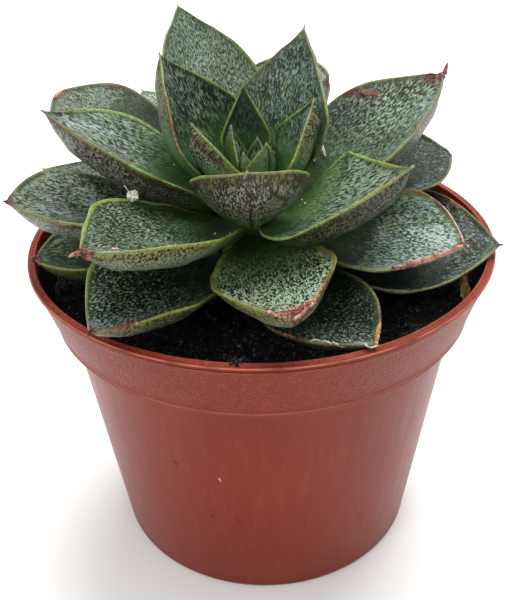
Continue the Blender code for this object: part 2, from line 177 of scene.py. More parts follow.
# The separate leaves, from the heart outwards
LEAVES = (
    Leaf(HEART, azimuth=-162, rise=88, length=17, width=10, curl=10, roll=-8,
         green=1.0, brown=0.2, drawn_out=0.1, lime=0.4, bare=1.2, silver=0.3, cool_and_shade=1),
    Leaf(HEART, azimuth=-50, rise=60, length=18, width=14, curl=5, roll=-18, sway=-12,
         green=0.7, brown=0.6, red=0.5, drawn_out=0.1, lime=0.2),
    Leaf(HEART, azimuth=91, rise=70, length=18, width=17, curl=5, roll=8, sway=4,
         green=1.0, brown=0.7, drawn_out=0.1, silver=0.2, lime=0.2, cool_and_shade=0.8, fine=1.2),
    Leaf(RISING, azimuth=-108, rise=64, length=28, width=26, curl=10, roll=-5, sway=-8,
         green=0.8, brown=0.3, red=0.4, drawn_out=0.1, fine=0.9, silver=0.25, cover=-0.02,
         shade=(0.35, 0.45, 0.1),
         scars=[
             ("bruise", 0.5, 0.62, 1, 8, 0.35), ("cork", 1, 0.66, 0.9, 7, 0.45),
             ("scratch", 1, 0.62, 0.78, 8, 0.22),
         ]),
    Leaf(SPOON, azimuth=-1.5, rise=35, length=32, width=20, curl=19, roll=3,
         green=0.9, brown=0.8, red=0.45, lime=0.3, nub=0.5, rim=1.3, shade=(0.3, 0.0, 0.15),
         scars=[
             ("scratch", 0, 0.72, 0.62, 4.5, 0.35), ("scratch", 0, 0.52, 0.8, 2.0, 0.3),
         ]),
    Leaf(RISING, azimuth=147, rise=65, length=31, width=25, curl=14, roll=-10,
         silver=0.35, bloom_and_sheen=0.6, drawn_out=0.15, fine=0.95, soft=0.5, cover=-0.02, cool_and_shade=0.7),
    Leaf(SPOON, azimuth=-82, rise=33, length=38, width=23, curl=4, roll=-2, sway=-14,
         green=1.0, brown=0.8, red=0.5, drawn_out=0.15, fine=1.2, cool_and_shade=0.4, rim=1.35,
         shade=(0.38, 0.2, 0.1), flush=0.12,
         scars=[
             ("frost", 1, 0.68, -0.45, 10, 1.2), ("frost", 1, 0.85, -0.2, 3, 2),
         ]),
    Leaf(RISING, azimuth=47, rise=30, length=35.5, width=25, curl=26, roll=20.5, sway=27,
         green=1.0, brown=0.7, lime=0.6, silver=0.6, fine=1.1, rim=1.25, shade=(0.42, 0.35, 0.55),
         flush=0.3),
    Leaf(SPOON, azimuth=-152, rise=51, length=41, width=22, curl=12, roll=4, sway=8,
         green=0.4, bloom_and_sheen=0.3, drawn_out=0.1, fine=1.1, soft=0.8, shade=(0.2, 0.2, 0.1)),
    Leaf(BLUNT, azimuth=-31.5, rise=18, length=45, width=22, curl=3, roll=-5.5,
         green=0.5, lime=0.8, bloom_and_sheen=0.4, cover=-0.02, rim=1.35, shade=(0.52, 0.4, 0.0),
         scars=[
             ("crust", 0.5, 0.975, 0.2, 1.6, 1.8), ("bruise", 1, 0.945, 0.2, 2.2, 2.2),
             ("bruise", 1, 0.81, -0.05, 1.0, 0.8), ("cork", 1, 0.82, 0.1, 0.8, 0.6),
             ("frost", 1, 0.88, 0.6, 5, 2.6),
         ]),
    Leaf(SPOON, azimuth=107, rise=36, length=40, width=28, curl=16, roll=2,
         silver=0.35, red=0.5, brown=0.65, bloom_and_sheen=0.3, fine=0.85, soft=0.2, green=0.35, bare=0.35,
         cover=-0.02, shade=(0.0, 0.25, 0.45), flush=0.2,
         scars=[
             ("bruise", 1, 0.61, 0.95, 2.4, 1.2), ("bruise", 1, 0.65, 0.86, 2.4, 1.4),
             ("bruise", 1, 0.69, 0.76, 1.8, 1.5), ("crust", 1, 0.665, 0.83, 0.9, 0.7),
             ("crust", 1, 0.695, 0.75, 0.9, 0.8), ("bruise", 0.5, 0.95, 0.5, 4.0, 3.4),
             ("crust", 0.5, 0.975, 0.4, 2.4, 2.6),
         ]),
    Leaf(BROAD, azimuth=-117, rise=26, length=43, width=22, curl=-2, roll=-8, sway=-7,
         silver=0.45, red=0.9, bloom_and_sheen=0.4, fine=1.15, soft=0.5, bare=0.72, worn=1, cool_and_shade=0,
         shade=(0.45, 0.6, 0.1),
         scars=[
             ("cork", 0.5, 0.98, 0.5, 0.8, 3.5), ("bruise", 0.5, 0.955, 0.5, 1.2, 4.0),
             ("bruise", 0.5, 0.86, -1, 5, 0.4), ("bruise", 1, 0.8, -0.9, 1.6, 0.7),
         ]),
    Leaf(BLUNT, azimuth=7.5, rise=9.5, length=41, width=21, curl=18, roll=9, sway=3,
         green=0.6, silver=0.6, lime=0.75, red=0.6, rim=1.8, shade=(0.2, 0.0, 0.1),
         scars=[
             ("crust", 1, 0.925, 0.15, 2.5, 2.8), ("crust", 1, 0.965, -0.15, 1.6, 2.2),
             ("bruise", 0.5, 0.93, 0.6, 4.0, 3.0), ("bruise", 0.5, 0.8, 1, 4.5, 0.9),
             ("cork", 1, 0.83, 0.9, 3.0, 0.3), ("frost", 1, 0.76, 0.6, 3.5, 1.6),
         ]),
    Leaf(BROAD, azimuth=168, rise=29.5, length=42, width=21, curl=4, roll=-3,
         silver=0.5, red=0.6, fine=1.1, soft=0.4, bare=0.4, worn=1,
         scars=[
             ("bruise", 0.5, 0.72, -0.92, 2.2, 1.3), ("crust", 0.5, 0.74, -1, 1.6, 0.8),
         ]),
    Leaf(BROAD, azimuth=-69, rise=19.5, length=42, width=23, curl=15, roll=-3, sway=13,
         silver=0.45, lime=0.3, red=0.7, bloom_and_sheen=0.5, shade=(0.38, 0.3, 0.1),
         scars=[
             ("bruise", 0.5, 0.99, 0, 2.0, 3.5), ("crust", 0.5, 0.995, 0, 1.2, 2.0),
             ("frost", 1, 0.65, 0.1, 12, 2.0),
         ]),
    Leaf(LOW, azimuth=54, rise=13.5, length=38, width=20, curl=-8, roll=23, sway=-8,
         silver=0.25, lime=0.3, red=0.8, bloom_and_sheen=0.7, bare=0.5, cool_and_shade=0.7, soft=0.5, fine=1.15, cover=0.01,
         rim=1.7, shade=(0.0, 0.6, 0.1),
         scars=[
             ("cork", 0.5, 0.86, -1, 7, 0.45), ("crust", 0.5, 0.8, -0.92, 2.4, 0.9),
             ("cork", 0.5, 0.92, 1, 6, 0.5), ("crust", 0.5, 0.985, -0.2, 1.8, 2.4),
             ("bruise", 0.5, 0.8, 1, 5, 1.2), ("bruise", 0.5, 0.84, -1, 6, 1.2),
             ("frost", 1, 0.8, 0.1, 7, 3),
         ]),
    Leaf(LOW, azimuth=-148, rise=20.5, length=44, width=20, curl=-9, roll=1, sway=12, silver=0.3),
    Leaf(BROAD, azimuth=106, rise=17.5, length=37, width=21, curl=-16, roll=17, sway=-14,
         green=0.2, silver=0.1, bloom_and_sheen=0.3, fine=1.1, soft=0.5, bare=0.6, worn=1, cover=-0.03,
         shade=(0.45, 0.45, 0.2),
         scars=[
             ("scratch", 0.5, 0.985, 0.2, 1.2, 3.5), ("frost", 1, 0.7, -0.8, 2.2, 1.5),
         ]),
    Leaf(LOW, azimuth=-108.5, rise=12.8, length=41, width=19, curl=2, roll=-2, sway=19, silver=0.3),
    Leaf(LOW, azimuth=25, rise=4, length=39, width=19, curl=14, roll=11, sway=13,
         green=0.2, silver=0.45, red=0.7, bloom_and_sheen=0.3, cover=-0.09, fine=1.1, shade=(0.4, 0.6, 0.2),
         scars=[
             ("bruise", 0.5, 0.5, -0.95, 6, 0.7), ("bruise", 0.5, 0.68, -1, 4, 0.6),
             ("frost", 1, 0.93, -0.5, 3.0, 1.2), ("tan", 0.5, 0.93, 0.95, 2.6, 0.9),
             ("bruise", 0.5, 0.84, 1, 3.0, 0.4),
         ]),
    Leaf(LOW, azimuth=177, rise=15, length=43, width=23, curl=9, silver=0.3),
    Leaf(BLUNT, azimuth=-31, rise=11, length=44, width=22, curl=2, roll=-5, sway=10,
         green=0.2, silver=0.6, lime=0.8, bloom_and_sheen=0.4, cover=-0.08, soft=0.0, rim=1.1, shade=(0.1, 0.15, 0.2),
         scars=[
             ("bruise", 0.5, 0.9, 1, 3.0, 0.5), ("crust", 0.5, 0.87, 1, 1.2, 0.4),
             ("crust", 0.5, 0.985, 0.3, 1.4, 2.0), ("frost", 1, 0.93, -0.1, 3.0, 4.0),
             ("frost", 1, 0.86, 0.85, 4.5, 1.0),
         ]),
    Leaf(LOW, azimuth=76, rise=8, length=41, width=29, curl=16, roll=15, sway=-15,
         green=0.2, silver=0.05, red=0.5, bloom_and_sheen=0.2, cover=-0.04, cool_and_shade=1, bare=0.75,
         shade=(0.1, 1.0, 0.2),
         scars=[
             ("bruise", 1, 0.77, 0.93, 3.0, 0.9), ("crust", 1, 0.78, 0.9, 1.2, 0.6),
             ("scratch", 0.5, 0.985, 0, 1.5, 1.5), ("frost", 0.5, 0.5, -0.97, 8, 0.8),
         ]),
    Leaf(LOW, azimuth=-141, rise=9, length=39, width=20, curl=16, roll=-3, silver=0.3),
    Leaf(BROAD, azimuth=-75, rise=9.3, length=37, width=20.5, curl=6, sway=13,
         green=0.8, silver=0.15, red=0.2, bloom_and_sheen=0.2, bare=0.8, cover=-0.04, brown=0.1, lime=0.8,
         scars=[
             ("crust", 0.5, 0.985, 0.4, 1.4, 3.0), ("bruise", 0.5, 0.96, 0.6, 2.0, 1.6),
         ]),
    Leaf(LOW, azimuth=140, rise=11, length=41, width=23, curl=8, roll=-3, silver=0.3),
)
INNER_LEFT_LEAF = LEAVES[6]
INNER_RIGHT_LEAF = LEAVES[7]
LEFT_LEAF = LEAVES[9]
BACK_LEAF = LEAVES[10]
FRONT_LEAF = LEAVES[12]
RIGHT_LEAF = LEAVES[15]
LOW_FRONT_LEAF = LEAVES[19]


def bud(azimuth, rise, length, width, curl):
    """One of the smallest leaves, which are plain green."""
    return Leaf(BUD, azimuth, rise, length, width, curl,
                green=1.0, brown=0.0, lime=0.1, red=0.0, shade=(0.1, 0.1, 0.35))


# The smallest leaves, grown together with the stem's tip, and where their bases lie, sunk in the stem
HEART_LEAVES = (
    bud(azimuth=-105, rise=78, length=12, width=6.5, curl=12),
    bud(azimuth=29, rise=72, length=11, width=6.5, curl=14),
    bud(azimuth=160, rise=86, length=9, width=5.5, curl=8),
    bud(azimuth=-30, rise=76, length=8.5, width=5, curl=12),
    bud(azimuth=97, rise=82, length=8, width=4.5, curl=10),
)
HEART_LEAF_RADIUS = 1.5 * MM
HEART_LEAF_HEIGHT = 75.6 * MM


def base_height(rank):
    return TOP_BASE_HEIGHT - (TOP_BASE_HEIGHT - LOW_BASE_HEIGHT) * rank / (len(LEAVES) - 1)


def base_radius(rank):
    return INNER_BASE_RADIUS + (OUTER_BASE_RADIUS - INNER_BASE_RADIUS) * min(1, rank / FULL_RADIUS_RANK)


# Helpers


def clamp(value, low=0.0, high=1.0):
    return np.clip(value, low, high)


def smooth_step(value, low, high):
    share = clamp((value - low) / (high - low))
    return share * share * (3 - 2 * share)


def waves(a, b, wavelength, seed):
    """Soft, even undulation over a plane, between about -1 and 1."""
    draw = np.random.default_rng(seed)
    total = 0
    for _ in range(WAVE_COUNT):
        turn, phase, stretch = draw.uniform(0, 2 * pi, 2).tolist() + [draw.uniform(0.6, 1.7)]
        total = total + np.sin(2 * pi * stretch / wavelength * (a * cos(turn) + b * sin(turn)) + phase)
    return total / WAVE_COUNT**0.5


def make_object(name, points, faces, material, smooth=True):
    mesh = bpy.data.meshes.new(name)
    mesh.from_pydata(np.asarray(points).tolist(), [], faces)
    mesh.materials.append(material)
    mesh.update()
    if smooth:
        mesh.shade_smooth()
    item = bpy.data.objects.new(name, mesh)
    bpy.context.scene.collection.objects.link(item)
    return item


def add_attribute(item, name, values):
    layer = item.data.attributes.new(name, "FLOAT", "POINT")
    layer.data.foreach_set("value", np.asarray(values, np.float32).ravel())


def loop_faces(rings, around):
    """Quads between closed rings of points that follow each other in a list."""
    faces = []
    for ring in range(rings - 1):
        for number in range(around):
            follow = (number + 1) % around
            first, second = ring * around, (ring + 1) * around
            faces.append((first + number, first + follow, second + follow, second + number))
    return faces


def close_ends(faces, rings, around):
    """Fans that close a tube of rings, with one more point before its start and one after its end."""
    count = rings * around
    for number in range(around):
        follow = (number + 1) % around
        faces.append((follow, number, count))
        faces.append((count - around + number, count - around + follow, count + 1))


# Blades


def half_width(leaf, along):
    form = leaf.form
    rising = BASE_SHARE + (1 - BASE_SHARE) * np.sin(pi / 2 * clamp(along / form.widest)) ** 1.1
    past = clamp((along - form.widest) / (1 - form.widest))
    blade = np.maximum(0, 1 - (past / 0.965) ** form.tip_power)
    point = 0.05 * (1 - leaf.worn) * (1 - past) ** 0.7 * clamp(2 * past)
    narrowing = np.minimum(1, np.hypot(blade, point))
    return leaf.width / 2 * np.where(along < form.widest, rising, narrowing)


def thickness(leaf, along):
    fullness = 0.4 + 0.6 * np.sin(pi * clamp(along / 0.98)) ** 0.65
    taper = clamp((1 - along) / 0.2) ** 0.5
    return np.maximum(TIP_THICKNESS, leaf.form.thickness * fullness * taper)


def cup(leaf, along):
    return leaf.form.cup * clamp(along / 0.25, 0.25) * (1 - 0.35 * clamp((along - 0.75) / 0.25))


def midrib(leaf, along):
    """Outward, sideways and upward distance from the base."""
    middle = (np.arange(MIDRIB_STEPS) + 0.5) / MIDRIB_STEPS
    angle = leaf.rise + leaf.curl * (middle - 0.5)
    turn = leaf.sway * (2 * middle - 1)
    strides = [np.cos(angle) * np.cos(turn), np.cos(angle) * np.sin(turn), np.sin(angle)]
    ends = np.linspace(0, 1, MIDRIB_STEPS + 1)
    sums = [np.concatenate([[0], np.cumsum(stride)]) * leaf.length / MIDRIB_STEPS for stride in strides]
    return [np.interp(along, ends, values) for values in sums]


def on_blade(leaf, along, aside, height):
    """Points of the blade in the part's frame."""
    out, side, up = midrib(leaf, along)
    angle = leaf.rise + leaf.curl * (along - 0.5)
    roll = leaf.roll * clamp(along / 0.5)
    sideways = side + aside * np.cos(roll) - height * np.sin(roll)
    above = aside * np.sin(roll) + height * np.cos(roll)
    outward = leaf.base_radius + out - above * np.sin(angle)
    x = PLANT_X + outward * sin(leaf.azimuth) + sideways * cos(leaf.azimuth)
    y = -outward * cos(leaf.azimuth) + sideways * sin(leaf.azimuth)
    return np.stack([x, y, leaf.base_height + up + above * np.cos(angle)], -1)


def spot_on(leaf, along, across, lift):
    """A place on the upper face of a blade, lifted off it."""
    along = np.array(along)
    width = half_width(leaf, along)
    return on_blade(leaf, along, across * width, cup(leaf, along) * width * across**2 + lift)


def section():
    """Once around a blade: place across, face (1 upper, 0 lower) and turn around the margin."""
    upper = np.sin(pi / 2 * np.linspace(-1, 1, ACROSS_UPPER))
    lower = np.sin(pi / 2 * np.linspace(1, -1, ACROSS_LOWER))
    turns = np.linspace(0, pi, ACROSS_EDGE + 2)[1:-1]
    across = np.concatenate([upper, np.ones(ACROSS_EDGE), lower, -np.ones(ACROSS_EDGE)])
    face = np.concatenate([np.ones(ACROSS_UPPER), 1 - turns / pi, np.zeros(ACROSS_LOWER), turns / pi])
    around = np.concatenate([np.zeros(ACROSS_UPPER), turns, np.full(ACROSS_LOWER, pi), pi - turns])
    return across, face, around


def blade_width(leaf, along, across, seed):
    """Half the width, with a drawn-out tip and slightly uneven margins."""
    run = along * leaf.length / MM
    uneven = 0.014 * waves(run, np.sign(across) * 40, 9, seed)
    uneven = uneven * smooth_step(along, 0.05, 0.3) * (1 - smooth_step(along, 0.85, 0.98))
    drawn_out = leaf.drawn_out * np.sin(pi * clamp((along - 0.84) / 0.16))
    return half_width(leaf, along) * (1 + uneven - drawn_out)


def margin_distance(leaf, aside, run):
    """How far points of the flattened blade lie from its outline, in millimetres."""
    along = 1 - np.linspace(1, 0, OUTLINE_STEPS) ** 1.6
    edge = half_width(leaf, along) / MM
    outline_run = along * leaf.length / MM
    distance = np.full(run.shape, FAR)
    for edge_aside, edge_run in zip(edge, outline_run):
        distance = np.minimum(distance, np.hypot(np.abs(aside) - edge_aside, run - edge_run))
    return distance


def scar_fields(leaf, aside, run, face):
    """By kind, the depth inside the nearest scar: 1 at its middle, 0 at its rim, below 0 outside."""
    fields = {kind: np.full(run.shape, NO_SCAR) for kind in SCAR_KINDS}
    width = half_width(leaf, run * MM / leaf.length) / MM
    for kind, side, along, across, long, wide in leaf.scars:
        distance = np.hypot((run - along * leaf.length / MM) / long, (aside - across * width) / wide)
        depth = 1 - distance - 2.5 * np.abs(face - side) * (side != 0.5)
        fields[kind] = np.maximum(fields[kind], depth)
    return fields


def edge_thickness(leaf):
    return min(FINE_EDGE, 0.05 * leaf.width)


def blade_grid(leaf, seed):
    """The blade's skin as a grid, station by station and once around: where each point lies on it."""
    spread = np.linspace(0, 1, STATIONS)
    end = LAST_STATION - WORN_LOSS * leaf.worn
    across, face, around = section()
    g = SimpleNamespace()
    g.along, g.across = np.meshgrid(end * (1 - (1 - spread) ** 1.3), across, indexing="ij")
    g.face = np.broadcast_to(face, g.along.shape)
    g.around = np.broadcast_to(around, g.along.shape)
    g.run = g.along * leaf.length / MM
    g.width = blade_width(leaf, g.along, g.across, seed)
    rounding = np.minimum(edge_thickness(leaf) / 2, 0.45 * g.width)
    g.aside = g.across * (g.width - rounding + rounding * np.sin(g.around))
    g.reach = np.minimum(np.abs(g.aside) / g.width, 1)
    g.margin = np.minimum((1 - g.reach) * g.width / MM, margin_distance(leaf, g.aside / MM, g.run))
    g.scars = scar_fields(leaf, g.aside / MM, g.run, g.face)
    g.crusted = clamp(1.8 * g.scars["crust"] + 0.25)
    return g


def smooth_height(leaf, g):
    """How high the keeled blade's skin lies over its midrib, before its relief."""
    edge = edge_thickness(leaf)
    upper = cup(leaf, g.along) * g.width * g.reach**2
    full = thickness(leaf, g.along) - (TIP_THICKNESS - FINE_TIP) * smooth_step(g.along, 0.9, 1.0)
    bulge = np.maximum(0, 1 - np.abs(g.across) ** 2.3) ** 0.85
    ridge = KEEL * full * np.maximum(0, 1 - np.abs(g.across) / KEEL_SHARE)
    ridge = ridge * clamp(g.along / 0.3) * clamp((1 - g.along) / 0.12)
    lower = upper - edge - np.maximum(0, full - edge) * bulge - ridge
    turned = upper - edge / 2 * (1 - np.cos(g.around))
    return np.where(g.around <= 0, upper, np.where(g.around >= pi, lower, turned))


def relief(g, seed):
    """Change of height in millimetres: uneven skin, a raised lip along the margin and crumbling crusts."""
    aside = g.aside / MM
    calm = clamp((1 - g.along) / 0.08) * clamp(g.margin / 1.2)
    uneven = 0.16 * waves(aside, g.run, 11, seed + 1)
    uneven = uneven + 0.05 * waves(aside * 2.2, g.run * 0.7, 3.2, seed + 2)
    raised = np.exp(-(((g.margin - 0.35) / 0.25) ** 2))
    sunken = np.exp(-(((g.margin - 1.1) / 0.4) ** 2))
    lip = 0.10 * (raised - sunken) * clamp((1 - g.along) / 0.12) * smooth_step(g.along, 0.03, 0.2)
    crumble = g.crusted * (0.20 + 0.24 * waves(aside, g.run, 1.7, seed + 3))
    outward = np.where(g.face > 0.5, 1, -1) * np.where(np.abs(g.face - 0.5) < 0.5, 0.3, 1)
    return outward * (np.where(g.face > 0.5, 1, 0.7) * (uneven * calm + lip) + crumble)


def blade_points(leaf, g, seed):
    """The grid's points in the part's frame, gnawed where the margin is crusted."""
    gnawed = g.crusted * clamp(1 - g.margin / 1.5) * (0.25 + 0.22 * waves(g.run, g.run * 0, 1.4, seed + 4))
    g.height = smooth_height(leaf, g) + MM * relief(g, seed)
    g.aside = g.aside - np.sign(g.aside) * np.minimum(gnawed * MM, 0.5 * g.width)
    nub = leaf.nub * np.exp(-((g.aside / MM) ** 2 + ((1 - g.along) * leaf.length / MM) ** 2) / 0.3)
    return on_blade(leaf, g.along, g.aside, g.height + nub * MM)


def mark_blade(item, leaf, g, seed):
    """Writes what the finish reads: the place on the blade, the scars and the looks."""
    base, tip = (0, 0), (-1, 0)
    fields = {
        "aside": g.aside / MM, "run": g.run, "across": g.across, "along": g.along, "face": g.face,
        "margin": g.margin, "tip_distance": (1 - g.along) * leaf.length / MM, "half": g.width / MM,
        "seed": np.full(g.run.shape, SEED_SHIFT * seed), **g.scars,
    }
    for name, values in fields.items():
        ends = BLADE_ENDS.get(name, (values[base], values[tip]))
        add_attribute(item, name, np.append(values, ends))
    for name, value in leaf.looks.items():
        add_attribute(item, name, np.full(g.run.size + 2, value))


def build_blade(name, leaf, seed, material):
    g = blade_grid(leaf, seed)
    points = blade_points(leaf, g, seed)
    rings, around = g.run.shape
    base = points[0].mean(0)
    tip = on_blade(leaf, np.array(1 - 0.02 * leaf.worn), 0, MM * leaf.nub - FINE_TIP / 2)
    faces = loop_faces(rings, around)
    close_ends(faces, rings, around)
    faces = [face[::-1] for face in faces]
    item = make_object(name, np.vstack([points.reshape(-1, 3), base, tip]), faces, material)
    mark_blade(item, leaf, g, seed)
    return item


# Materials


def srgb(red, green, blue):
    """The linear colour for a colour as on a screen, 0 to 255."""
    values = [channel / 255 for channel in (red, green, blue)]
    return (*[v / 12.92 if v <= 0.04045 else ((v + 0.055) / 1.055) ** 2.4 for v in values], 1)


# Small marks on the pot: arc from the front, height, reach, colour
POT_MARKS = (
    (-18.9, 35.3, 0.7, (52, 16, 12)),
    (-12.2, 21.8, 0.5, (70, 24, 18)),
    (20.8, 21.0, 0.4, (64, 22, 16)),
    (22.8, 15.8, 1.7, (112, 14, 2)),
    (-6.0, 21.5, 1.2, (112, 24, 12)),
    (-9.3, 33.2, 0.35, (214, 168, 150)),
    (10.5, 59.5, 0.35, (40, 14, 12)),
)


class Term:
    """A value that a material works out at each place. Terms and numbers join by +, - and *."""

    def __init__(self, shader, socket):
        self.shader = shader
        self.socket = socket

    def __add__(self, other):
        return self.shader.math("ADD", self, other)

    def __sub__(self, other):
        return self.shader.math("SUBTRACT", self, other)

    def __rsub__(self, other):
        return self.shader.math("SUBTRACT", other, self)

    def __mul__(self, other):
        return self.shader.math("MULTIPLY", self, other)

    def __abs__(self):
        return self.shader.math("ABSOLUTE", self)

    __radd__ = __add__
    __rmul__ = __mul__


class Shader:
    """A short way to write a material's nodes."""

    def __init__(self, name):
        self.material = bpy.data.materials.new(name)
        self.material.use_nodes = True
        self.tree = self.material.node_tree
        self.surface = self.tree.nodes["Principled BSDF"]

    def node(self, kind, **settings):
        item = self.tree.nodes.new(kind)
        for key, value in settings.items():
            setattr(item, key, value)
        return item

    def feed(self, socket, value):
        """Links a term, or sets a number or a colour, which is given as on a screen, 0 to 255."""
        if isinstance(value, Term):
            self.tree.links.new(value.socket, socket)
        else:
            socket.default_value = srgb(*value) if isinstance(value, tuple) else value

    def result(self, item, output=0):
        return Term(self, item.outputs[output])

    def math(self, operation, a, b=0.0):
        item = self.node("ShaderNodeMath", operation=operation)
        self.feed(item.inputs[0], a)
        self.feed(item.inputs[1], b)
        return self.result(item)

    def least(self, a, b):
        return self.math("MINIMUM", a, b)

    def greatest(self, a, b):
        return self.math("MAXIMUM", a, b)

    def step(self, value, low, high):
        """0 below low, 1 above high, smooth between; low may be over high."""
        item = self.node("ShaderNodeMapRange", interpolation_type="SMOOTHSTEP")
        for socket, number in zip(item.inputs[:5], (value, low, high, 0.0, 1.0)):
            self.feed(socket, number)
        return self.result(item)

    def mix(self, share, a, b):
        item = self.node("ShaderNodeMix", data_type="RGBA")
        self.feed(item.inputs[0], share)
        self.feed(item.inputs[6], a)
        self.feed(item.inputs[7], b)
        return self.result(item, 2)

    def attribute(self, name):
        return self.result(self.node("ShaderNodeAttribute", attribute_name=name), "Fac")

    def place(self):
        return self.result(self.node("ShaderNodeTexCoord"), "Object")

    def millimetres(self):
        """The place on the object, in millimetres."""
        scaled = self.node("ShaderNodeVectorMath", operation="SCALE")
        self.feed(scaled.inputs[0], self.place())
        scaled.inputs["Scale"].default_value = 1 / MM
        split = self.node("ShaderNodeSeparateXYZ")
        self.feed(split.inputs[0], self.result(scaled))
        return [self.result(split, axis) for axis in "XYZ"]

    def vector(self, x, y, z):
        item = self.node("ShaderNodeCombineXYZ")
        for socket, value in zip(item.inputs, (x, y, z)):
            self.feed(socket, value)
        return self.result(item)

    def noise(self, place, scale, detail=2.0, roughness=0.5, distortion=0.0):
        item = self.node("ShaderNodeTexNoise")
        self.feed(item.inputs["Vector"], place)
        item.inputs["Scale"].default_value = scale
        item.inputs["Detail"].default_value = detail
        item.inputs["Roughness"].default_value = roughness
        item.inputs["Distortion"].default_value = distortion
        return self.result(item, "Fac")

    def bump(self, height, distance):
        item = self.node("ShaderNodeBump")
        item.inputs["Strength"].default_value = 1.0
        item.inputs["Distance"].default_value = distance
        self.feed(item.inputs["Height"], height)
        return self.result(item)

    def finish(self, colour, roughness, normal, specular):
        self.feed(self.surface.inputs["Base Color"], colour)
        self.feed(self.surface.inputs["Roughness"], roughness)
        self.feed(self.surface.inputs["Normal"], normal)
        self.feed(self.surface.inputs["Specular IOR Level"], specular)
        return self.material


def leaf_fields(s):
    """What the mesh says of each place on a blade, and the noises that several colours share."""
    f = SimpleNamespace(**{name: s.attribute(name) for name in (*BLADE_FIELDS, *SCAR_KINDS, *USUAL_LOOKS)})
    f.blade = s.vector(f.aside, f.run, f.seed)
    drawn = f.run * (0.58 - f.green * 0.28)
    f.slim = s.vector(f.aside * 1.3 * f.fine, drawn * f.fine, f.seed)
    f.patches = s.noise(f.blade, 0.13)
    f.drift = s.noise(f.blade, 0.5)
    f.clumps = s.noise(f.blade, 1.0)
    f.fine_noise = s.noise(f.slim, 5.5, 2.0, 0.6)
    f.fleck_noise = s.noise(f.slim, 2.7, 2.0, 0.55, 0.5)
    # How much painted shade darkens the upper face, from the base towards the tip
    f.upper_shade = f.base_shade + s.step(f.along, 0.45, 0.85) * (f.tip_shade - f.base_shade)
    return f


def dark_green(s, f):
    """The skin between the flecks."""
    colour = s.mix(f.drift, (4, 9, 6), (11, 22, 13))
    colour = s.mix(f.soft, colour, (48, 68, 48))
    return s.mix(f.green * 0.7, colour, (20, 40, 16))


def bare_green(s, f):
    """The skin where a leaf has no flecks."""
    colour = s.mix(f.drift, (28, 44, 20), (56, 80, 38))
    # Towards the cool look the bare skin turns dark bluish, partly painted shade on leaves that lie in
    # shadow
    return s.mix(f.cool_and_shade, colour, s.mix(f.drift, (10, 18, 15), (22, 36, 28)))


def fleck_colour(s, f, level):
    """Greyish green, paler at the core of a fleck."""
    pale = s.mix(f.silver, (108, 138, 92), (208, 222, 196))
    pale = s.mix(f.lime * 0.4, pale, (150, 176, 104))
    pale = s.mix(f.cool_and_shade * s.step(s.noise(f.blade, 0.4), 0.4, 0.62), pale, (152, 174, 178))
    ground = s.mix(0.24 + f.silver * 0.25, (42, 60, 38), pale)
    cores = s.step(level, 0.51, 0.6 + f.soft * 0.1)
    cores = cores * (1 - s.step(s.noise(f.slim, 1.1, 3.0, 0.65), 0.38, 0.62) * 0.6)
    return s.mix(cores, ground, pale)


def upper_face(s, f):
    """Flecks on dark green, fresh green at the base, a haze of wax bloom and painted sheen towards the tip,
    olive by the margin, under painted shade.
    """
    tipward = s.step(f.along, 0.3, 0.92)
    near_base = s.step(f.along, 0.6, 0.14)
    level = f.fleck_noise + f.cover + tipward * 0.04 + (f.patches - 0.5) * 0.15
    level = level + (f.silver - 0.5) * 0.06 + (f.clumps - 0.5) * 0.25
    f.flecks = s.step(level, 0.46 - f.soft * 0.1, 0.53)
    bare_place = f.along + (f.patches - 0.5) * 0.15 + (f.clumps - 0.5) * 0.12
    bare = s.step(bare_place - f.bare, 0.015, -0.015)
    strength = (1 - near_base * 0.6) * (1 - bare * 0.8)
    ground = s.mix(bare * 0.8, dark_green(s, f), bare_green(s, f))
    upper = s.mix(f.flecks * strength, ground, fleck_colour(s, f, level))
    young = s.mix(s.noise(f.slim, 1.6, 3.0), (54, 98, 40), (122, 168, 90))
    upper = s.mix(near_base * f.green * 0.85, upper, young)
    # Haze towards the tip: wax bloom and painted reflection of the bright sky
    haze = f.bloom_and_sheen * s.step(f.patches + (f.fleck_noise - 0.5) * 1.2, 0.38, 0.7)
    upper = s.mix(haze * tipward * (1 - bare) * 0.45, upper, (134, 152, 150))
    fringe = s.step(f.margin + (f.fleck_noise - 0.5) * 2.5, 1.5, 0.5)
    fringe_colour = s.mix(f.lime, s.mix(f.bloom_and_sheen, (62, 80, 46), (122, 140, 106)), (72, 98, 36))
    upper = s.mix(fringe * 0.65, upper, fringe_colour)
    # Painted shade over the upper face
    return s.mix(f.upper_shade, upper, (10, 16, 9))


def under_ground(s, f, olive):
    """Grey-green near the base, pinkish grey towards the tip, olive beside the margin."""
    plain = s.mix(f.drift, (74, 100, 68), (108, 132, 100))
    plain = s.mix(f.green, plain, s.mix(f.drift, (84, 124, 76), (122, 158, 108)))
    pinkish = s.mix(f.drift, (138, 133, 121), (184, 173, 163))
    warm = s.step(f.along + (f.patches - 0.5) * 0.2, f.flush, f.flush + 0.3) * (0.05 + f.brown * 0.95)
    ground = s.mix(warm, plain, pinkish)
    ground = s.mix(s.step(f.fine_noise, 0.48, 0.64) * 0.3, ground, (78, 80, 60))
    return s.mix(olive * 0.85, ground, s.mix(f.lime, (112, 108, 62), (126, 134, 54)))


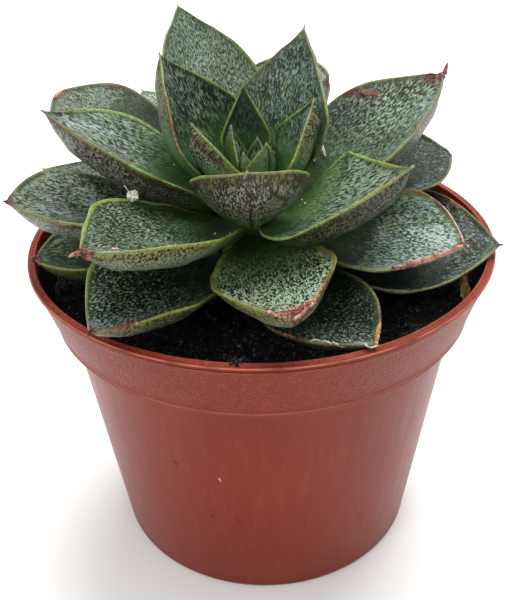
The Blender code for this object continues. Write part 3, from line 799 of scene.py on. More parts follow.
def lower_face(s, f):
    """Dark dashes on greyish skin, a dark line on the keel and a brown one under the rim."""
    dash_noise = s.noise(s.vector(f.aside * 1.7, f.run, f.seed), 2.3, 2.0, 0.6, 0.7)
    olive_limit = s.least(0.7 + f.lime * 1.2, f.half * 0.3)
    olive = s.step(f.margin + (dash_noise - 0.5) * 3.0, olive_limit, 0.3) * s.step(f.along, 0.02, 0.2)
    dense = (f.brown - 0.6) * 0.2 + (f.clumps - 0.5) * 0.22
    dense = dense + s.step(abs(f.across), 0.5, 0.0) * 0.02 + s.step(f.margin, 2.5, 0.6) * 0.025
    dense = dense - s.step(f.along, f.flush + 0.25, f.flush - 0.15) * 0.2
    dashes = s.step(dash_noise + dense, 0.5, 0.54)
    dash_colour = s.mix(f.red, (20, 20, 12), s.mix(olive, (26, 14, 13), (62, 22, 14)))
    lower = s.mix(dashes * 0.97, under_ground(s, f, olive), dash_colour)
    under_rim = s.step(abs(f.margin - 0.65), 0.4, 0.15) * s.step(f.patches, 0.4, 0.55)
    lower = s.mix(under_rim * (f.red * f.brown * 1.6), lower, (76, 32, 20))
    keel_line = s.step(abs(f.aside + (f.drift - 0.5)), 0.34, 0.1)
    keel_line = keel_line * s.step(f.along, 0.1, 0.3) * s.step(dash_noise, 0.28, 0.42)
    lower = s.mix(keel_line * 0.9, lower, (34, 16, 15))
    # Painted shade over the lower face
    return s.mix(f.under_shade, lower, (14, 16, 10))


def add_rim(s, f, skin):
    """The pale rounded margin and the reddish tip."""
    rim = s.mix(f.lime, (130, 138, 92), (144, 156, 74))
    rim = s.mix(f.green * s.step(f.along, 0.95, 0.55), rim, (126, 160, 80))
    rim = s.mix(s.step(f.patches, 0.58, 0.42) * f.red, rim, (104, 66, 44))
    rim = s.mix(f.bloom_and_sheen * s.step(f.along, 0.72, 0.92), rim, (92, 104, 86))
    rim = s.mix(s.step(s.noise(f.blade, 1.6, 3.0, 0.6), 0.5, 0.62) * 0.55, rim, (98, 84, 48))
    limit = s.least(f.rim * 0.46, f.half * 0.15) * s.step(f.face, -0.25, 0.75)
    share = s.step(f.margin - limit, 0.12, -0.1) * s.step(f.along, 0.0, 0.12)
    skin = s.mix(share, skin, rim)
    tip_colour = s.mix(s.step(f.red, 0.4, 0.8), (156, 152, 108), (104, 50, 40))
    return s.mix(s.step(f.tip_distance, 1.7 - f.green * 0.8, 0.4) * 0.9, skin, tip_colour)


def crust_colours(s, f, grain):
    colour = s.mix(s.step(grain, 0.34, 0.6), (74, 38, 30), (140, 92, 74))
    colour = s.mix(s.step(grain, 0.58, 0.7), colour, (186, 150, 130))
    return s.mix(s.step(f.crust, 0.5, 0.85) * 0.8, colour, (50, 25, 22))


def add_scars(s, f, skin):
    """Painted sheen (pale bluish painted highlights), dark scratches, reddish bruises, dry crust, pale cork
    and tan dead margins.
    """
    ragged_fine = (s.noise(f.blade, 2.6, 3.0, 0.6) - 0.5) * 1.6
    torn = (s.noise(f.blade, 0.9, 4.0, 0.65) - 0.5) * 1.5 + ragged_fine
    grain = s.noise(f.blade, 2.3, 4.0, 0.65)
    sore = s.mix(s.step(s.noise(f.blade, 3.0, 3.0, 0.6), 0.38, 0.62), (48, 20, 18), (116, 64, 54))
    cork = s.mix(s.step(f.fine_noise, 0.4, 0.6), (206, 184, 168), (146, 104, 86))
    tan = s.mix(s.step(grain, 0.38, 0.6), (128, 84, 42), (196, 150, 92))
    f.crust_share = s.step(f.crust + 0.12 + torn * 0.6, 0.0, 0.35)
    cork_share = s.step(f.cork + torn * 0.9, 0.0, 0.35)
    tan_share = s.step(f.tan + torn * 0.5, 0.0, 0.3)
    f.dry_share = s.greatest(f.crust_share, s.greatest(cork_share, tan_share))
    # Pale bluish painted highlights where the flecks rise
    painted_sheen_share = s.step(f.frost + (f.fleck_noise - 0.5) * 3.5, 0.1, 1.0)
    skin = s.mix(painted_sheen_share * 0.6, skin, (162, 178, 180))
    skin = s.mix(s.step(f.scratch + ragged_fine * 0.6, 0.0, 0.4) * 0.85, skin, (44, 20, 18))
    skin = s.mix(s.step(f.bruise + torn, 0.0, 0.7) * 0.8, skin, sore)
    skin = s.mix(f.crust_share, skin, crust_colours(s, f, grain))
    skin = s.mix(cork_share, skin, cork)
    return s.mix(tan_share, skin, tan)


def leaf_skin():
    """Speckled green above, brown-streaked and pinkish grey below, with a pale margin."""
    s = Shader("leaf_skin")
    f = leaf_fields(s)
    is_upper = s.step(f.face, 0.05, 0.35)
    skin = s.mix(is_upper, lower_face(s, f), upper_face(s, f))
    skin = add_scars(s, f, add_rim(s, f, skin))
    height = f.flecks * 0.35 + f.fine_noise * 0.35 + f.crust_share * s.noise(f.blade, 2.0, 4.0, 0.7)
    rough = 0.34 + f.flecks * 0.08 + (f.patches - 0.5) * 0.2 + f.dry_share * 0.35
    # Weaker reflection where the upper face has painted shade
    gloss = (1 - is_upper * f.upper_shade * 0.9) * 0.45
    s.surface.inputs["Subsurface Weight"].default_value = 0.1
    s.surface.inputs["Subsurface Radius"].default_value = (0.6, 1.0, 0.3)
    s.surface.inputs["Subsurface Scale"].default_value = 0.8 * MM
    return s.finish(skin, rough, s.bump(height, 0.26 * MM), gloss)


def add_pot_marks(s, colour, place, arc, height):
    for spot_arc, spot_height, reach, shade in POT_MARKS:
        above = height - spot_height
        distance = abs(arc - spot_arc + above * 0.35) + abs(above) * 0.4
        distance = distance + (s.noise(place, 1.5) - 0.5) * (1.6 * reach)
        colour = s.mix(s.step(distance, reach, 0.3 * reach) * 0.85, colour, shade)
    return colour


def plastic_wear_and_painted_light(s, colour, place, wear_and_painted_light, collar, pits):
    """The collar's grain with painted glints and shade on its bumps, pale worn edges with painted
    highlights, and dark grooves of painted shade.
    """
    grained = collar * s.step(abs(wear_and_painted_light), 0.6, 0.1)
    # Lighter specks are painted glints and darker pits painted shade, on the collar's grain
    colour = s.mix(s.step(pits, 0.52, 0.66) * grained * 0.22, colour, (170, 92, 70))
    colour = s.mix(s.step(pits, 0.47, 0.35) * grained * 0.3, colour, (84, 26, 16))
    # Pale edges: scuffs with painted highlights along the lip and the step
    worn = s.step(wear_and_painted_light, 0.05, 0.9) * s.step(s.noise(place, 0.2), 0.22, 0.55)
    colour = s.mix(worn * 0.8, colour, (190, 104, 82))
    # Dark grooves: painted shade
    return s.mix(s.step(wear_and_painted_light, -0.1, -0.9) * 0.65, colour, (70, 20, 14)), grained


def pot_plastic():
    """Moulded terracotta-coloured plastic: grained collar, scuffed edges with painted highlights, grooves
    with painted shade, faint drawn streaks.
    """
    s = Shader("pot_plastic")
    arc, wear_and_painted_light, inside = [s.attribute(name) for name in ("arc", "wear_and_painted_light", "inside")]
    x, y, height = s.millimetres()
    place = s.vector(x, y, height)
    collar = s.step(height, 51.5, 53.0)
    pits = s.noise(place, 2.2, 2.0, 0.6)
    streaky = s.noise(s.vector(x, y, height * 0.06), 0.8, 3.0, 0.6)
    colour = s.mix(s.noise(place, 0.05, 3.0), (108, 34, 18), (124, 43, 24))
    colour = s.mix(s.step(streaky, 0.45, 0.75) * 0.25, colour, (142, 62, 40))
    scuffs = s.step(s.noise(s.vector(x * 0.5, y * 0.5, height * 2.0), 0.9, 4.0, 0.7), 0.58, 0.7)
    colour = s.mix(scuffs * s.step(height, 46.0, 54.0) * 0.18, colour, (176, 104, 84))
    dust = s.step(s.noise(place, 1.6, 3.0, 0.7), 0.68, 0.76)
    colour = s.mix(dust * 0.35, colour, (70, 24, 18))
    colour, grained = plastic_wear_and_painted_light(s, colour, place, wear_and_painted_light, collar, pits)
    colour = add_pot_marks(s, colour, place, arc, height)
    # The inner wall turns near black from a ragged line under the rim down to the soil
    inner_darkening = 64.4 - height + (s.noise(place, 0.35, 4.0, 0.65) - 0.5) * 5.0
    colour = s.mix(s.step(inner_darkening, 0.0, 1.5) * inside * 0.95, colour, (12, 9, 8))
    drawn = s.noise(s.vector(x * 0.25, y * 0.25, height * 0.03), 1.0) * 0.8
    normal = s.bump(pits * (0.12 + grained * 1.3) + drawn, 0.22 * MM)
    rough = 0.36 + (streaky - 0.5) * 0.15 + collar * 0.04
    return s.finish(colour, rough, normal, 0.2)


def soil_grains(name, dark, light):
    """Damp black peat with greyish glints."""
    s = Shader(name)
    place = s.place()
    lumps = s.noise(place, 800.0, 4.0, 0.75)
    glints = s.step(s.noise(place, 2100.0, 2.0, 0.6), 0.55, 0.66)
    colour = s.mix(s.step(lumps, 0.46, 0.66), dark, light)
    colour = s.mix(glints * s.step(lumps, 0.48, 0.58), colour, (112, 116, 124))
    normal = s.bump(s.noise(place, 2600.0, 4.0, 0.7), 0.3 * MM)
    return s.finish(colour, 0.66 + lumps * 0.3, normal, 0.3)


def plain_finish(name, dark, light, scale, roughness):
    s = Shader(name)
    place = s.place()
    colour = s.mix(s.step(s.noise(place, scale, 4.0, 0.6), 0.35, 0.65), dark, light)
    normal = s.bump(s.noise(place, scale * 2.5, 3.0), 0.08 * MM)
    return s.finish(colour, roughness, normal, 0.4)


# Pot and soil

# Worn edges with painted highlights and grooves with painted shade in the pot's skin: outwards and upwards
# in millimetres, wear (a groove below 0)
STEP_LINES = (
    (0.00, -0.02, 0.1), (0.13, 0.06, 0.45), (0.20, 0.20, 0.2), (1.30, 0.75, 0.0), (2.40, 1.32, 0.0),
    (2.66, 1.50, 0.1), (2.70, 1.72, 0.3), (2.68, 1.92, 0.5), (2.665, 2.10, 0.35), (2.66, 2.25, 0.1),
)
LIP_LINES = (
    (-0.86, -2.40, 0.0), (-0.66, -1.85, 0.0), (-0.56, -1.60, 0.5), (-0.56, -1.46, 0.4),
    (-0.70, -1.34, -0.4), (-0.72, -1.06, -0.5), (-0.36, -0.94, -0.45), (-0.06, -0.84, -0.4),
    (0.00, -0.70, -0.35), (-0.01, -0.50, 0.3), (-0.04, -0.38, 1.0), (-0.12, -0.26, 0.8),
    (-0.30, -0.20, 0.2), (-0.55, -0.26, -0.05), (-0.85, -0.28, -0.1), (-1.10, -0.17, 0.05),
    (-1.26, -0.02, 0.3), (-1.38, 0.00, 0.5), (-1.48, -0.12, 0.35), (-1.50, -0.45, 0.0),
)
POT_SIDES = 288
HOLE_SIDES = 32
FOOT_ROUND = 1.0 * MM
HUB = 1.0 * MM                      # radius of the innermost ring of the floor
MARKED_RADIUS = 40 * MM             # of the arc along which the marks are placed
SOIL_SIDES = 360
SOIL_RINGS = 96
CRUMB_COUNT = 8500
CRUMB_REACH = 41.2 * MM
RIM_CRUMB_COUNT = 140


def turned_points(profile, sides, wobble=None):
    turn = np.arange(sides) * 2 * pi / sides
    points = []
    for radius, height in profile:
        swing = wobble(turn, height) if wobble else 0
        reach = radius + swing
        points.append(np.stack([reach * np.cos(turn), reach * np.sin(turn), turn * 0 + height], -1))
    return np.array(points)


def evenly(start, end, count):
    """Points from start towards end, without the end."""
    steps = [number / count for number in range(count)]
    return [tuple(a + (b - a) * step for a, b in zip(start, end)) for step in steps]


def pot_profile():
    """Radius, height, wear with painted edge light and groove shade, and side (1 inside) of the skin, from
    the foot over the rim to the floor.
    """
    step_top = POT_HEIGHT - COLLAR_HEIGHT
    step_foot = step_top - STEP_SLOPE
    inner_body = BODY_RADIUS - WALL
    profile = evenly((HUB, 0, 0), (BASE_RADIUS - FOOT_ROUND, 0, 0), 9)
    for turn in np.linspace(0, pi / 2, 6):
        profile.append((BASE_RADIUS - (1 - sin(turn)) * FOOT_ROUND, (1 - cos(turn)) * FOOT_ROUND, 0))
    profile += evenly((BASE_RADIUS + 0.02 * MM, 1.4 * MM, 0), (BODY_RADIUS, step_foot, 0), 26)
    for out, up, wear_and_painted_light in STEP_LINES:
        profile.append((BODY_RADIUS + out * MM, step_foot + up * MM, wear_and_painted_light))
    collar_top = (RIM_RADIUS - RIM_OVERHANG - 0.15 * MM, POT_HEIGHT - RIM_LIP - 0.25 * MM, 0)
    profile += evenly((COLLAR_RADIUS + 0.05 * MM, step_top + 0.8 * MM, 0), collar_top, 12)
    profile.append(collar_top)
    for out, up, wear_and_painted_light in LIP_LINES:
        profile.append((RIM_RADIUS + out * MM, POT_HEIGHT + up * MM, wear_and_painted_light))
    outside = [(*point, 0) for point in profile]
    profile = evenly((RIM_INNER_RADIUS, POT_HEIGHT - 0.9 * MM, 0), (COLLAR_RADIUS - WALL, step_top, 0), 16)
    profile += evenly((COLLAR_RADIUS - WALL, step_top, 0), (inner_body, step_foot, 0), 3)
    profile += evenly((inner_body, step_foot, 0), (BASE_RADIUS - WALL, FLOOR, 0), 12)
    profile += [(BASE_RADIUS - WALL, FLOOR, 0), (20 * MM, FLOOR, 0), (HUB, FLOOR, 0)]
    return outside + [(*point, 1) for point in profile]


def pot_wobble(turn, height):
    """How far the thin wall is out of round."""
    share = height / POT_HEIGHT
    return (0.10 * np.sin(2 * turn + 0.6) + 0.05 * np.sin(5 * turn + 1.9)) * MM * share**2


def build_pot(material):
    profile = pot_profile()
    points = turned_points([point[:2] for point in profile], POT_SIDES, pot_wobble)
    faces = loop_faces(len(profile), POT_SIDES)
    close_ends(faces, len(profile), POT_SIDES)
    flat = np.vstack([points.reshape(-1, 3), [[0, 0, 0], [0, 0, FLOOR]]])
    pot = make_object("pot_shell", flat, faces, material)
    pierce(pot)
    mark_skin(pot, profile)
    pot.data.set_sharp_from_angle(angle=radians(60))
    return pot


def mark_skin(pot, profile):
    """Arc from the front, wear with painted edge light and groove shade, and side for the finish, from the
    nearest point of the profile.
    """
    spots = np.empty(3 * len(pot.data.vertices), np.float32)
    pot.data.vertices.foreach_get("co", spots)
    x, y, height = spots.reshape(-1, 3).T
    radius = np.hypot(x, y) - pot_wobble(np.arctan2(y, x), height)
    radii, heights, wear_and_painted_light, inside = np.array(profile).T
    distance = np.hypot(radius[:, None] - radii, height[:, None] - heights)
    nearest = distance.argmin(1)
    add_attribute(pot, "arc", np.arctan2(x, -y) * MARKED_RADIUS / MM)
    add_attribute(pot, "wear_and_painted_light", wear_and_painted_light[nearest])
    add_attribute(pot, "inside", inside[nearest])


def pierce(pot):
    """Cuts the drain holes."""
    builder = bmesh.new()
    for number in range(HOLE_COUNT):
        turn = 2 * pi * (number + 0.5) / HOLE_COUNT
        hole = bmesh.ops.create_cone(
            builder, cap_ends=True, segments=HOLE_SIDES,
            radius1=HOLE_RADIUS, radius2=HOLE_RADIUS, depth=4 * FLOOR,
        )
        spot = (HOLE_RING * cos(turn), HOLE_RING * sin(turn), FLOOR / 2)
        bmesh.ops.translate(builder, verts=hole["verts"], vec=spot)
    mesh = bpy.data.meshes.new("holes")
    builder.to_mesh(mesh)
    builder.free()
    cutter = bpy.data.objects.new("holes", mesh)
    bpy.context.scene.collection.objects.link(cutter)
    modifier = pot.modifiers.new("holes", "BOOLEAN")
    modifier.operation = "DIFFERENCE"
    modifier.object = cutter
    apply_modifiers(pot)
    bpy.data.objects.remove(cutter, do_unlink=True)


def apply_modifiers(item):
    bpy.context.view_layer.update()
    graph = bpy.context.evaluated_depsgraph_get()
    mesh = bpy.data.meshes.new_from_object(item.evaluated_get(graph))
    item.modifiers.clear()
    item.data = mesh


def soil_height(x, y):
    """Relief of the soil's surface over its level."""
    spot = Vector((x, y, 0)) / MM
    broad = noise.noise(spot * 0.07 + Vector((3, 1, 7)))
    lumps = noise.fractal(spot * 0.32, 0.9, 2.1, 4)
    return (1.1 * broad + 0.9 * lumps) * MM


def build_soil(material):
    step_top = POT_HEIGHT - COLLAR_HEIGHT
    share = (SOIL_LEVEL - step_top) / COLLAR_HEIGHT
    edge = COLLAR_RADIUS - WALL + share * (RIM_INNER_RADIUS - COLLAR_RADIUS + WALL) - 0.1 * MM
    profile = [(BASE_RADIUS - WALL - GAP, FLOOR + GAP), (BODY_RADIUS - WALL - GAP, step_top - STEP_SLOPE)]
    profile += [(COLLAR_RADIUS - WALL - GAP, step_top + 0.5 * MM), (edge, SOIL_LEVEL - 0.6 * MM)]
    profile += [(edge * (1 - ring / SOIL_RINGS), SOIL_LEVEL) for ring in range(SOIL_RINGS)]
    points = turned_points(profile, SOIL_SIDES)
    for ring in points[4:]:
        for point in ring:
            point[2] += soil_height(point[0], point[1])
    faces = loop_faces(len(profile), SOIL_SIDES)
    close_ends(faces, len(profile), SOIL_SIDES)
    middle = [0, 0, SOIL_LEVEL + soil_height(0, 0)]
    flat = np.vstack([points.reshape(-1, 3), [[0, 0, FLOOR + GAP], middle]])
    return make_object("soil_bed", flat, faces, material)


def blob(draw, middle, size, flatness):
    """A small rough lump around its middle: points and faces."""
    builder = bmesh.new()
    bmesh.ops.create_icosphere(builder, subdivisions=1, radius=1)
    spin = Matrix.Rotation(draw.uniform(0, 2 * pi), 3, Vector(draw.normal(size=3)).normalized())
    stretch = draw.uniform(0.6, 1.3, 3)
    stretch[2] *= flatness
    points = []
    for vertex in builder.verts:
        bent = vertex.co * draw.uniform(0.7, 1.15)
        bent = spin @ Vector([a * b for a, b in zip(bent, stretch)])
        points.append(list(Vector(middle) + bent * size))
    faces = [[vertex.index for vertex in face.verts] for face in builder.faces]
    builder.free()
    return points, faces


def build_lumps(name, spots, material, draw, flatness=0.8):
    """One piece of many small rough lumps; each spot is a place and a size."""
    points, faces = [], []
    for spot, size in spots:
        lump, sides = blob(draw, spot, size, flatness)
        faces += [[corner + len(points) for corner in side] for side in sides]
        points += lump
    return make_object(name, points, faces, material, smooth=False)


def build_crumbs(material):
    """Crumbs lying on the soil."""
    draw = np.random.default_rng(11)
    spots = []
    for _ in range(CRUMB_COUNT):
        radius = CRUMB_REACH * draw.uniform(0.02, 1) ** 0.5
        turn = draw.uniform(0, 2 * pi)
        size = MM * (0.16 + 0.62 * draw.random() ** 4)
        x, y = radius * cos(turn), radius * sin(turn)
        spots.append(((x, y, SOIL_LEVEL + soil_height(x, y) + 0.4 * size), size))
    return build_lumps("soil_crumbs", spots, material, draw)


def build_rim_crumb(material):
    """A little soil that sticks to the rim's inner edge at the front."""
    draw = np.random.default_rng(5)
    middle = np.array((-4.2, -43.1, 65.1)) * MM
    spread = np.array((0.75, 0.3, 0.4)) * MM
    spots = []
    for _ in range(RIM_CRUMB_COUNT):
        spots.append((middle + draw.normal(0, 1, 3) * spread, MM * draw.uniform(0.2, 0.5)))
    return build_lumps("rim_crumb", spots, material, draw)


# Plant

STEM_SIDES = 48
HEART_SEED = 50


def fasten(piece, node=None):
    """Makes a piece ride on the one body, in place of its solid where it has one."""
    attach(piece, "root")
    if node:
        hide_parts(node)


def build_plant(material):
    for rank, leaf in enumerate(LEAVES):
        leaf.base_radius = base_radius(rank)
        leaf.base_height = base_height(rank)
        piece = build_blade(f"blade_{rank + 1:02d}", leaf, rank + 1, material)
        fasten(piece, f"leaf_{rank + 1:02d}")


def build_stem(material):
    outermost = len(LEAVES) - 1
    shoulders = [(base_radius(rank) - GAP, base_height(rank)) for rank in range(outermost, 0, -3)]
    top = INNER_BASE_RADIUS - GAP
    profile = [
        (0.01 * MM, STEM_FOOT),
        (0.8 * NECK_RADIUS, STEM_FOOT),
        (NECK_RADIUS, STEM_FOOT + 2 * MM),
        (NECK_RADIUS, SOIL_LEVEL + 1 * MM),
        *shoulders,
        (top, TOP_BASE_HEIGHT),
        (0.6 * top, TOP_BASE_HEIGHT + 0.7 * HEART_DOME),
        (0.01 * MM, TOP_BASE_HEIGHT + HEART_DOME),
    ]
    points = turned_points(profile, STEM_SIDES).reshape(-1, 3) + np.array([PLANT_X, 0, 0])
    stem = make_object("stem", points, loop_faces(len(profile), STEM_SIDES), material)
    fasten(stem, "stem_and_heart")


def build_heart(material):
    for number, leaf in enumerate(HEART_LEAVES):
        leaf.base_radius = HEART_LEAF_RADIUS
        leaf.base_height = HEART_LEAF_HEIGHT
        fasten(build_blade(f"heart_blade_{number + 1}", leaf, HEART_SEED + number, material))


# Small litter: fluff, grains, dry strips and scabs

FLUFF_COUNT = 60
BRISTLE_COUNT = 18
SHARP_EDGE = radians(50)            # edges of dry strips from here on look sharp


def build_fluff(material):
    """A tuft of white fluff with one stiff bristle, on the margin of a front leaf."""
    draw = np.random.default_rng(3)
    middle = spot_on(LEFT_LEAF, 0.455, -0.93, 1.0 * MM)
    spots = []
    for _ in range(FLUFF_COUNT):
        spots.append((middle + draw.normal(0, 0.36 * MM, 3), MM * draw.uniform(0.22, 0.5)))
    bristle = middle + np.array((-0.5, 0, 0.5)) * MM
    for number in range(BRISTLE_COUNT):
        spots.append((bristle + np.array((-0.05, 0, 0.09)) * MM * number, 0.12 * MM))
    return build_lumps("fluff", spots, material, draw, 1.0)


def build_specks(material):
    """Pale grains on the leaves around the heart: leaf, place along and across."""
    draw = np.random.default_rng(8)
    seats = (
        (LEFT_LEAF, 0.41, 0.95), (INNER_RIGHT_LEAF, 0.13, 0.58), (INNER_RIGHT_LEAF, 0.19, 0.24),
        (INNER_RIGHT_LEAF, 0.22, 0.30), (INNER_LEFT_LEAF, 0.30, -0.5), (LEFT_LEAF, 0.33, 0.5),
    )
    spots = [(spot_on(*seat, 0.15 * MM), MM * draw.uniform(0.13, 0.24)) for seat in seats]
    return build_lumps("pale_grains", spots, material, draw, 1.0)


def strip(name, course, widths, thick, material):
    """A thin dry strip along a course of points, with its widths across."""
    points = []
    for number, spot in enumerate(course):
        ahead = course[min(number + 1, len(course) - 1)] - course[max(number - 1, 0)]
        side = np.cross(ahead, (0.3, 1, 0.2))
        side = side / np.linalg.norm(side)
        face = np.cross(side, ahead)
        face = face / np.linalg.norm(face)
        half = side * widths[number] / 2
        fold = face * widths[number] * 0.25
        back = face * thick / 2
        points += [spot - half - back, spot - fold - back, spot + half - back]
        points += [spot + half + back, spot - fold + back, spot - half + back]
    count = len(points)
    faces = loop_faces(len(course), 6) + [tuple(range(5, -1, -1)), tuple(range(count - 6, count))]
    item = make_object(name, points, faces, material, smooth=False)
    item.data.set_sharp_from_angle(angle=SHARP_EDGE)
    return item


def build_dry_strip(material):
    """A dry tan bract that stands in the soil beside the rim."""
    bend = np.linspace(0, 1, 12)
    course = np.stack([37.5 + 0.7 * np.sin(4 * bend), -12.9 - 0.8 * bend**2, 56.0 + 7.2 * bend], -1) * MM
    widths = (1.7 * np.sin(pi * (0.15 + 0.8 * bend)) + 0.25 * np.sin(17 * bend)) * MM
    return strip("dry_bract", course, widths, 0.25 * MM, material)


def build_dry_spike(name, start, reach, width, material):
    """The dried point that curls out of a leaf's tip."""
    bend = np.linspace(0, 1, 9)[:, None]
    course = start + (np.array(reach) * bend + np.array((0, 0, 0.15)) * np.sin(3 * bend)) * MM
    widths = (width * (1 - bend[:, 0]) ** 0.8 + 0.15) * MM
    return strip(name, course, widths, 0.3 * MM, material)


def build_scab(name, leaf, along, across, reach, count, lump, seed, material, lift=-0.1):
    """A round cluster of dry lumps that has grown over a wound: reach, lump and lift in millimetres."""
    draw = np.random.default_rng(seed)
    width = half_width(leaf, np.array(along))
    spots = []
    for _ in range(count):
        turn, out = draw.uniform(0, 2 * pi), reach * MM * draw.random() ** 0.6
        place_along = min(along + out * cos(turn) / leaf.length, 0.985)
        place_across = across + out * sin(turn) / width
        height = 0.25 * (reach * MM - out) + lift * MM
        size = lump * MM * draw.uniform(0.55, 1.05)
        spots.append((spot_on(leaf, place_along, place_across, height), size))
    return build_lumps(name, spots, material, draw)


def build_dry_margin(name, leaf, start, end, thick, material):
    """A dried, thickened stretch of a leaf's left margin."""
    share = np.linspace(0, 1, 40)
    uneven = waves(share * 30, share * 0, 6, 21)
    alongs = start + (end - start) * share
    lifts = (0.12 + 0.08 * uneven) * MM
    course = [spot_on(leaf, along, -0.985, lift) for along, lift in zip(alongs, lifts)]
    widths = (0.42 + 0.45 * np.sin(pi * share) ** 2 + 0.16 * uneven) * thick
    return strip(name, np.array(course), widths, 0.4 * thick, material)


def build_shreds(material):
    """Papery white shreds at a front leaf's lower margin."""
    draw = np.random.default_rng(14)
    share = np.linspace(0, 1, 9)
    pieces = []
    for number, along in enumerate((0.80, 0.84, 0.87, 0.955)):
        start = spot_on(LOW_FRONT_LEAF, along, -1.0, 0.1 * MM)
        reach = np.array((draw.uniform(1.2, 2.6), draw.uniform(-0.9, -0.2), draw.uniform(-0.4, 0.4)))
        bend = np.stack([0 * share, 0 * share, 0.4 * np.sin(4 * share + number)], -1)
        widths = (0.16 + 0.24 * np.abs(np.sin(9 * share + number))) * MM
        course = start + (reach * share[:, None] + bend) * MM
        pieces.append(strip(f"shred_{number + 1}", course, widths, 0.15 * MM, material))
    return pieces


def build_slivers(material):
    """Two pale slivers caught between the leaves at the right of the heart."""
    pieces = []
    for number, ends in enumerate((((0.33, 0.78), (0.30, 0.40)), ((0.30, 0.70), (0.24, 0.50)))):
        start, end = [spot_on(BACK_LEAF, *spot, 0.5 * MM) for spot in ends]
        bend = np.linspace(0, 1, 8)[:, None]
        course = start * (1 - bend) + end * bend + np.array((0, 0, 0.5)) * MM * np.sin(pi * bend)
        widths = 0.85 * MM * np.sin(pi * (0.1 + 0.8 * bend[:, 0]))
        pieces.append(strip(f"sliver_{number + 1}", course, widths, 0.2 * MM, material))
    return pieces


def build_dry_bits():
    """The dried spikes, scabs and margins of worn leaves."""
    red = plain_finish("red_dry", (104, 48, 38), (180, 126, 110), 1400.0, 0.7)
    scab = plain_finish("scab_dry", (78, 32, 24), (196, 148, 126), 1300.0, 0.8)
    brown = plain_finish("scab_brown", (62, 26, 22), (146, 98, 78), 1100.0, 0.8)
    core = plain_finish("scab_core", (40, 14, 10), (128, 68, 52), 1300.0, 0.8)
    edge = plain_finish("dry_edge", (70, 30, 20), (184, 136, 112), 800.0, 0.8)
    left_tip = spot_on(LEFT_LEAF, 0.985, 0.3, -0.1 * MM)
    back_tip = spot_on(BACK_LEAF, 0.975, 0.0, -0.4 * MM)
    return [
        build_dry_spike("left_spike", left_tip, (-1.6, -0.3, -0.4), 0.6, red),
        build_dry_spike("back_spike", back_tip, (0.5, 0, 2.2), 0.9, red),
        build_scab("front_scab", FRONT_LEAF, 0.925, 0.14, 3.0, 380, 0.40, 31, scab),
        build_scab("front_scab_core", FRONT_LEAF, 0.945, 0.2, 1.25, 80, 0.34, 35, core, 0.5),
        build_scab("back_scab", BACK_LEAF, 0.695, 0.76, 0.7, 26, 0.18, 33, brown),
        build_scab("left_scab", LEFT_LEAF, 0.965, 0.1, 0.9, 40, 0.23, 34, brown),
        build_scab("corner_scab", RIGHT_LEAF, 0.975, -0.1, 0.6, 22, 0.15, 32, scab),
        build_dry_margin("dry_margin", RIGHT_LEAF, 0.72, 0.975, MM, edge),
        build_dry_margin("low_dry_margin", LOW_FRONT_LEAF, 0.60, 0.775, 0.6 * MM, brown),
    ]


def build_litter():
    """All small dry things, in pale, tan, red and brown."""
    fluff = plain_finish("fluff_white", (206, 200, 190), (240, 238, 232), 2500.0, 0.9)
    pale = plain_finish("pale_dry", (196, 196, 172), (226, 226, 208), 1500.0, 0.6)
    tan = plain_finish("tan_dry", (164, 118, 68), (226, 184, 126), 900.0, 0.7)
    shred = plain_finish("shred_white", (150, 150, 144), (214, 212, 204), 1800.0, 0.8)
    pieces = [build_fluff(fluff), build_specks(pale), *build_slivers(pale), build_dry_strip(tan)]
    for piece in (*pieces, *build_dry_bits(), *build_shreds(shred)):
        fasten(piece)


# Camera, floor and light

CAMERA_PLACE = (0, -152.84 * MM, 145.55 * MM)
CAMERA_TILT = radians(32.09)
CAMERA_YAW = radians(0.69)
CAMERA_ROLL = radians(1.63)
SENSOR_HEIGHT = 24
FOCAL_LENGTH = 34.96
NEAREST = 5 * MM
FLOOR_REACH = 3.0


def build_camera():
    data = bpy.data.cameras.new("camera")
    data.sensor_fit = "VERTICAL"
    data.sensor_height = SENSOR_HEIGHT
    data.lens = FOCAL_LENGTH
    data.clip_start = NEAREST
    camera = bpy.data.objects.new("camera", data)
    matrix = Matrix.Translation(CAMERA_PLACE)
    for angle, axis in ((CAMERA_YAW, "Z"), (pi / 2 - CAMERA_TILT, "X"), (-CAMERA_ROLL, "Z")):
        matrix = matrix @ Matrix.Rotation(angle, 4, axis)
    camera.matrix_world = matrix
    bpy.context.scene.collection.objects.link(camera)
    bpy.context.scene.camera = camera


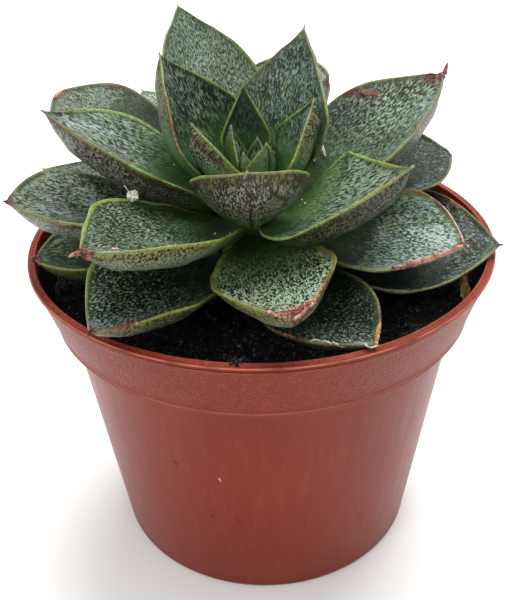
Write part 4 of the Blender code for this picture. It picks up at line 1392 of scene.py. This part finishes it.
def build_floor():
    s = Shader("floor_paper")
    colour = s.mix(s.noise(s.place(), 6.0), (240, 240, 238), (247, 247, 245))
    material = s.finish(colour, 0.85, s.bump(s.noise(s.place(), 900.0), 0.02 * MM), 0.2)
    corners = [(x * FLOOR_REACH, y * FLOOR_REACH, 0) for x, y in ((-1, -1), (1, -1), (1, 1), (-1, 1))]
    make_object("floor", corners, [(0, 1, 2, 3)], material)


def add_light(name, place, aim, size, power):
    data = bpy.data.lights.new(name, "AREA")
    data.shape = "DISK"
    data.size = size
    data.energy = power
    light = bpy.data.objects.new(name, data)
    light.location = place
    light.rotation_euler = (Vector(aim) - Vector(place)).to_track_quat("-Z", "Y").to_euler()
    bpy.context.scene.collection.objects.link(light)


def build_light():
    """A bright sky overhead that dims towards the horizon, and two soft lamps."""
    world = bpy.data.worlds.new("studio")
    bpy.context.scene.world = world
    world.use_nodes = True
    tree = world.node_tree
    back = tree.nodes["Background"]
    back.inputs["Color"].default_value = (0.98, 0.99, 1.0, 1)
    place = tree.nodes.new("ShaderNodeTexCoord")
    split = tree.nodes.new("ShaderNodeSeparateXYZ")
    rise = tree.nodes.new("ShaderNodeMapRange")
    tree.links.new(place.outputs["Generated"], split.inputs[0])
    tree.links.new(split.outputs["Z"], rise.inputs["Value"])
    settings = {"From Min": 0.0, "From Max": 0.8, "To Min": 0.42, "To Max": 1.0}
    for name, value in settings.items():
        rise.inputs[name].default_value = value
    tree.links.new(rise.outputs[0], back.inputs["Strength"])
    add_light("overhead", (0.1, 0.25, 0.75), (0, 0, 0.06), size=0.6, power=8.0)
    add_light("front", (-0.45, -0.6, 0.55), (0, 0, 0.05), size=0.5, power=2.0)
    bpy.context.scene.view_settings.view_transform = "Standard"


def main():
    build_camera()
    build_floor()
    build_light()
    skin = leaf_skin()
    build_plant(skin)
    build_stem(plain_finish("stem_skin", (70, 104, 52), (104, 138, 76), 600.0, 0.5))
    build_heart(skin)
    fasten(build_pot(pot_plastic()), "pot")
    fasten(build_soil(soil_grains("soil_dark", (3, 3, 4), (26, 25, 27))), "soil")
    crumb = soil_grains("soil_crumb", (4, 4, 5), (46, 46, 51))
    fasten(build_crumbs(crumb))
    fasten(build_rim_crumb(crumb))
    build_litter()


main()
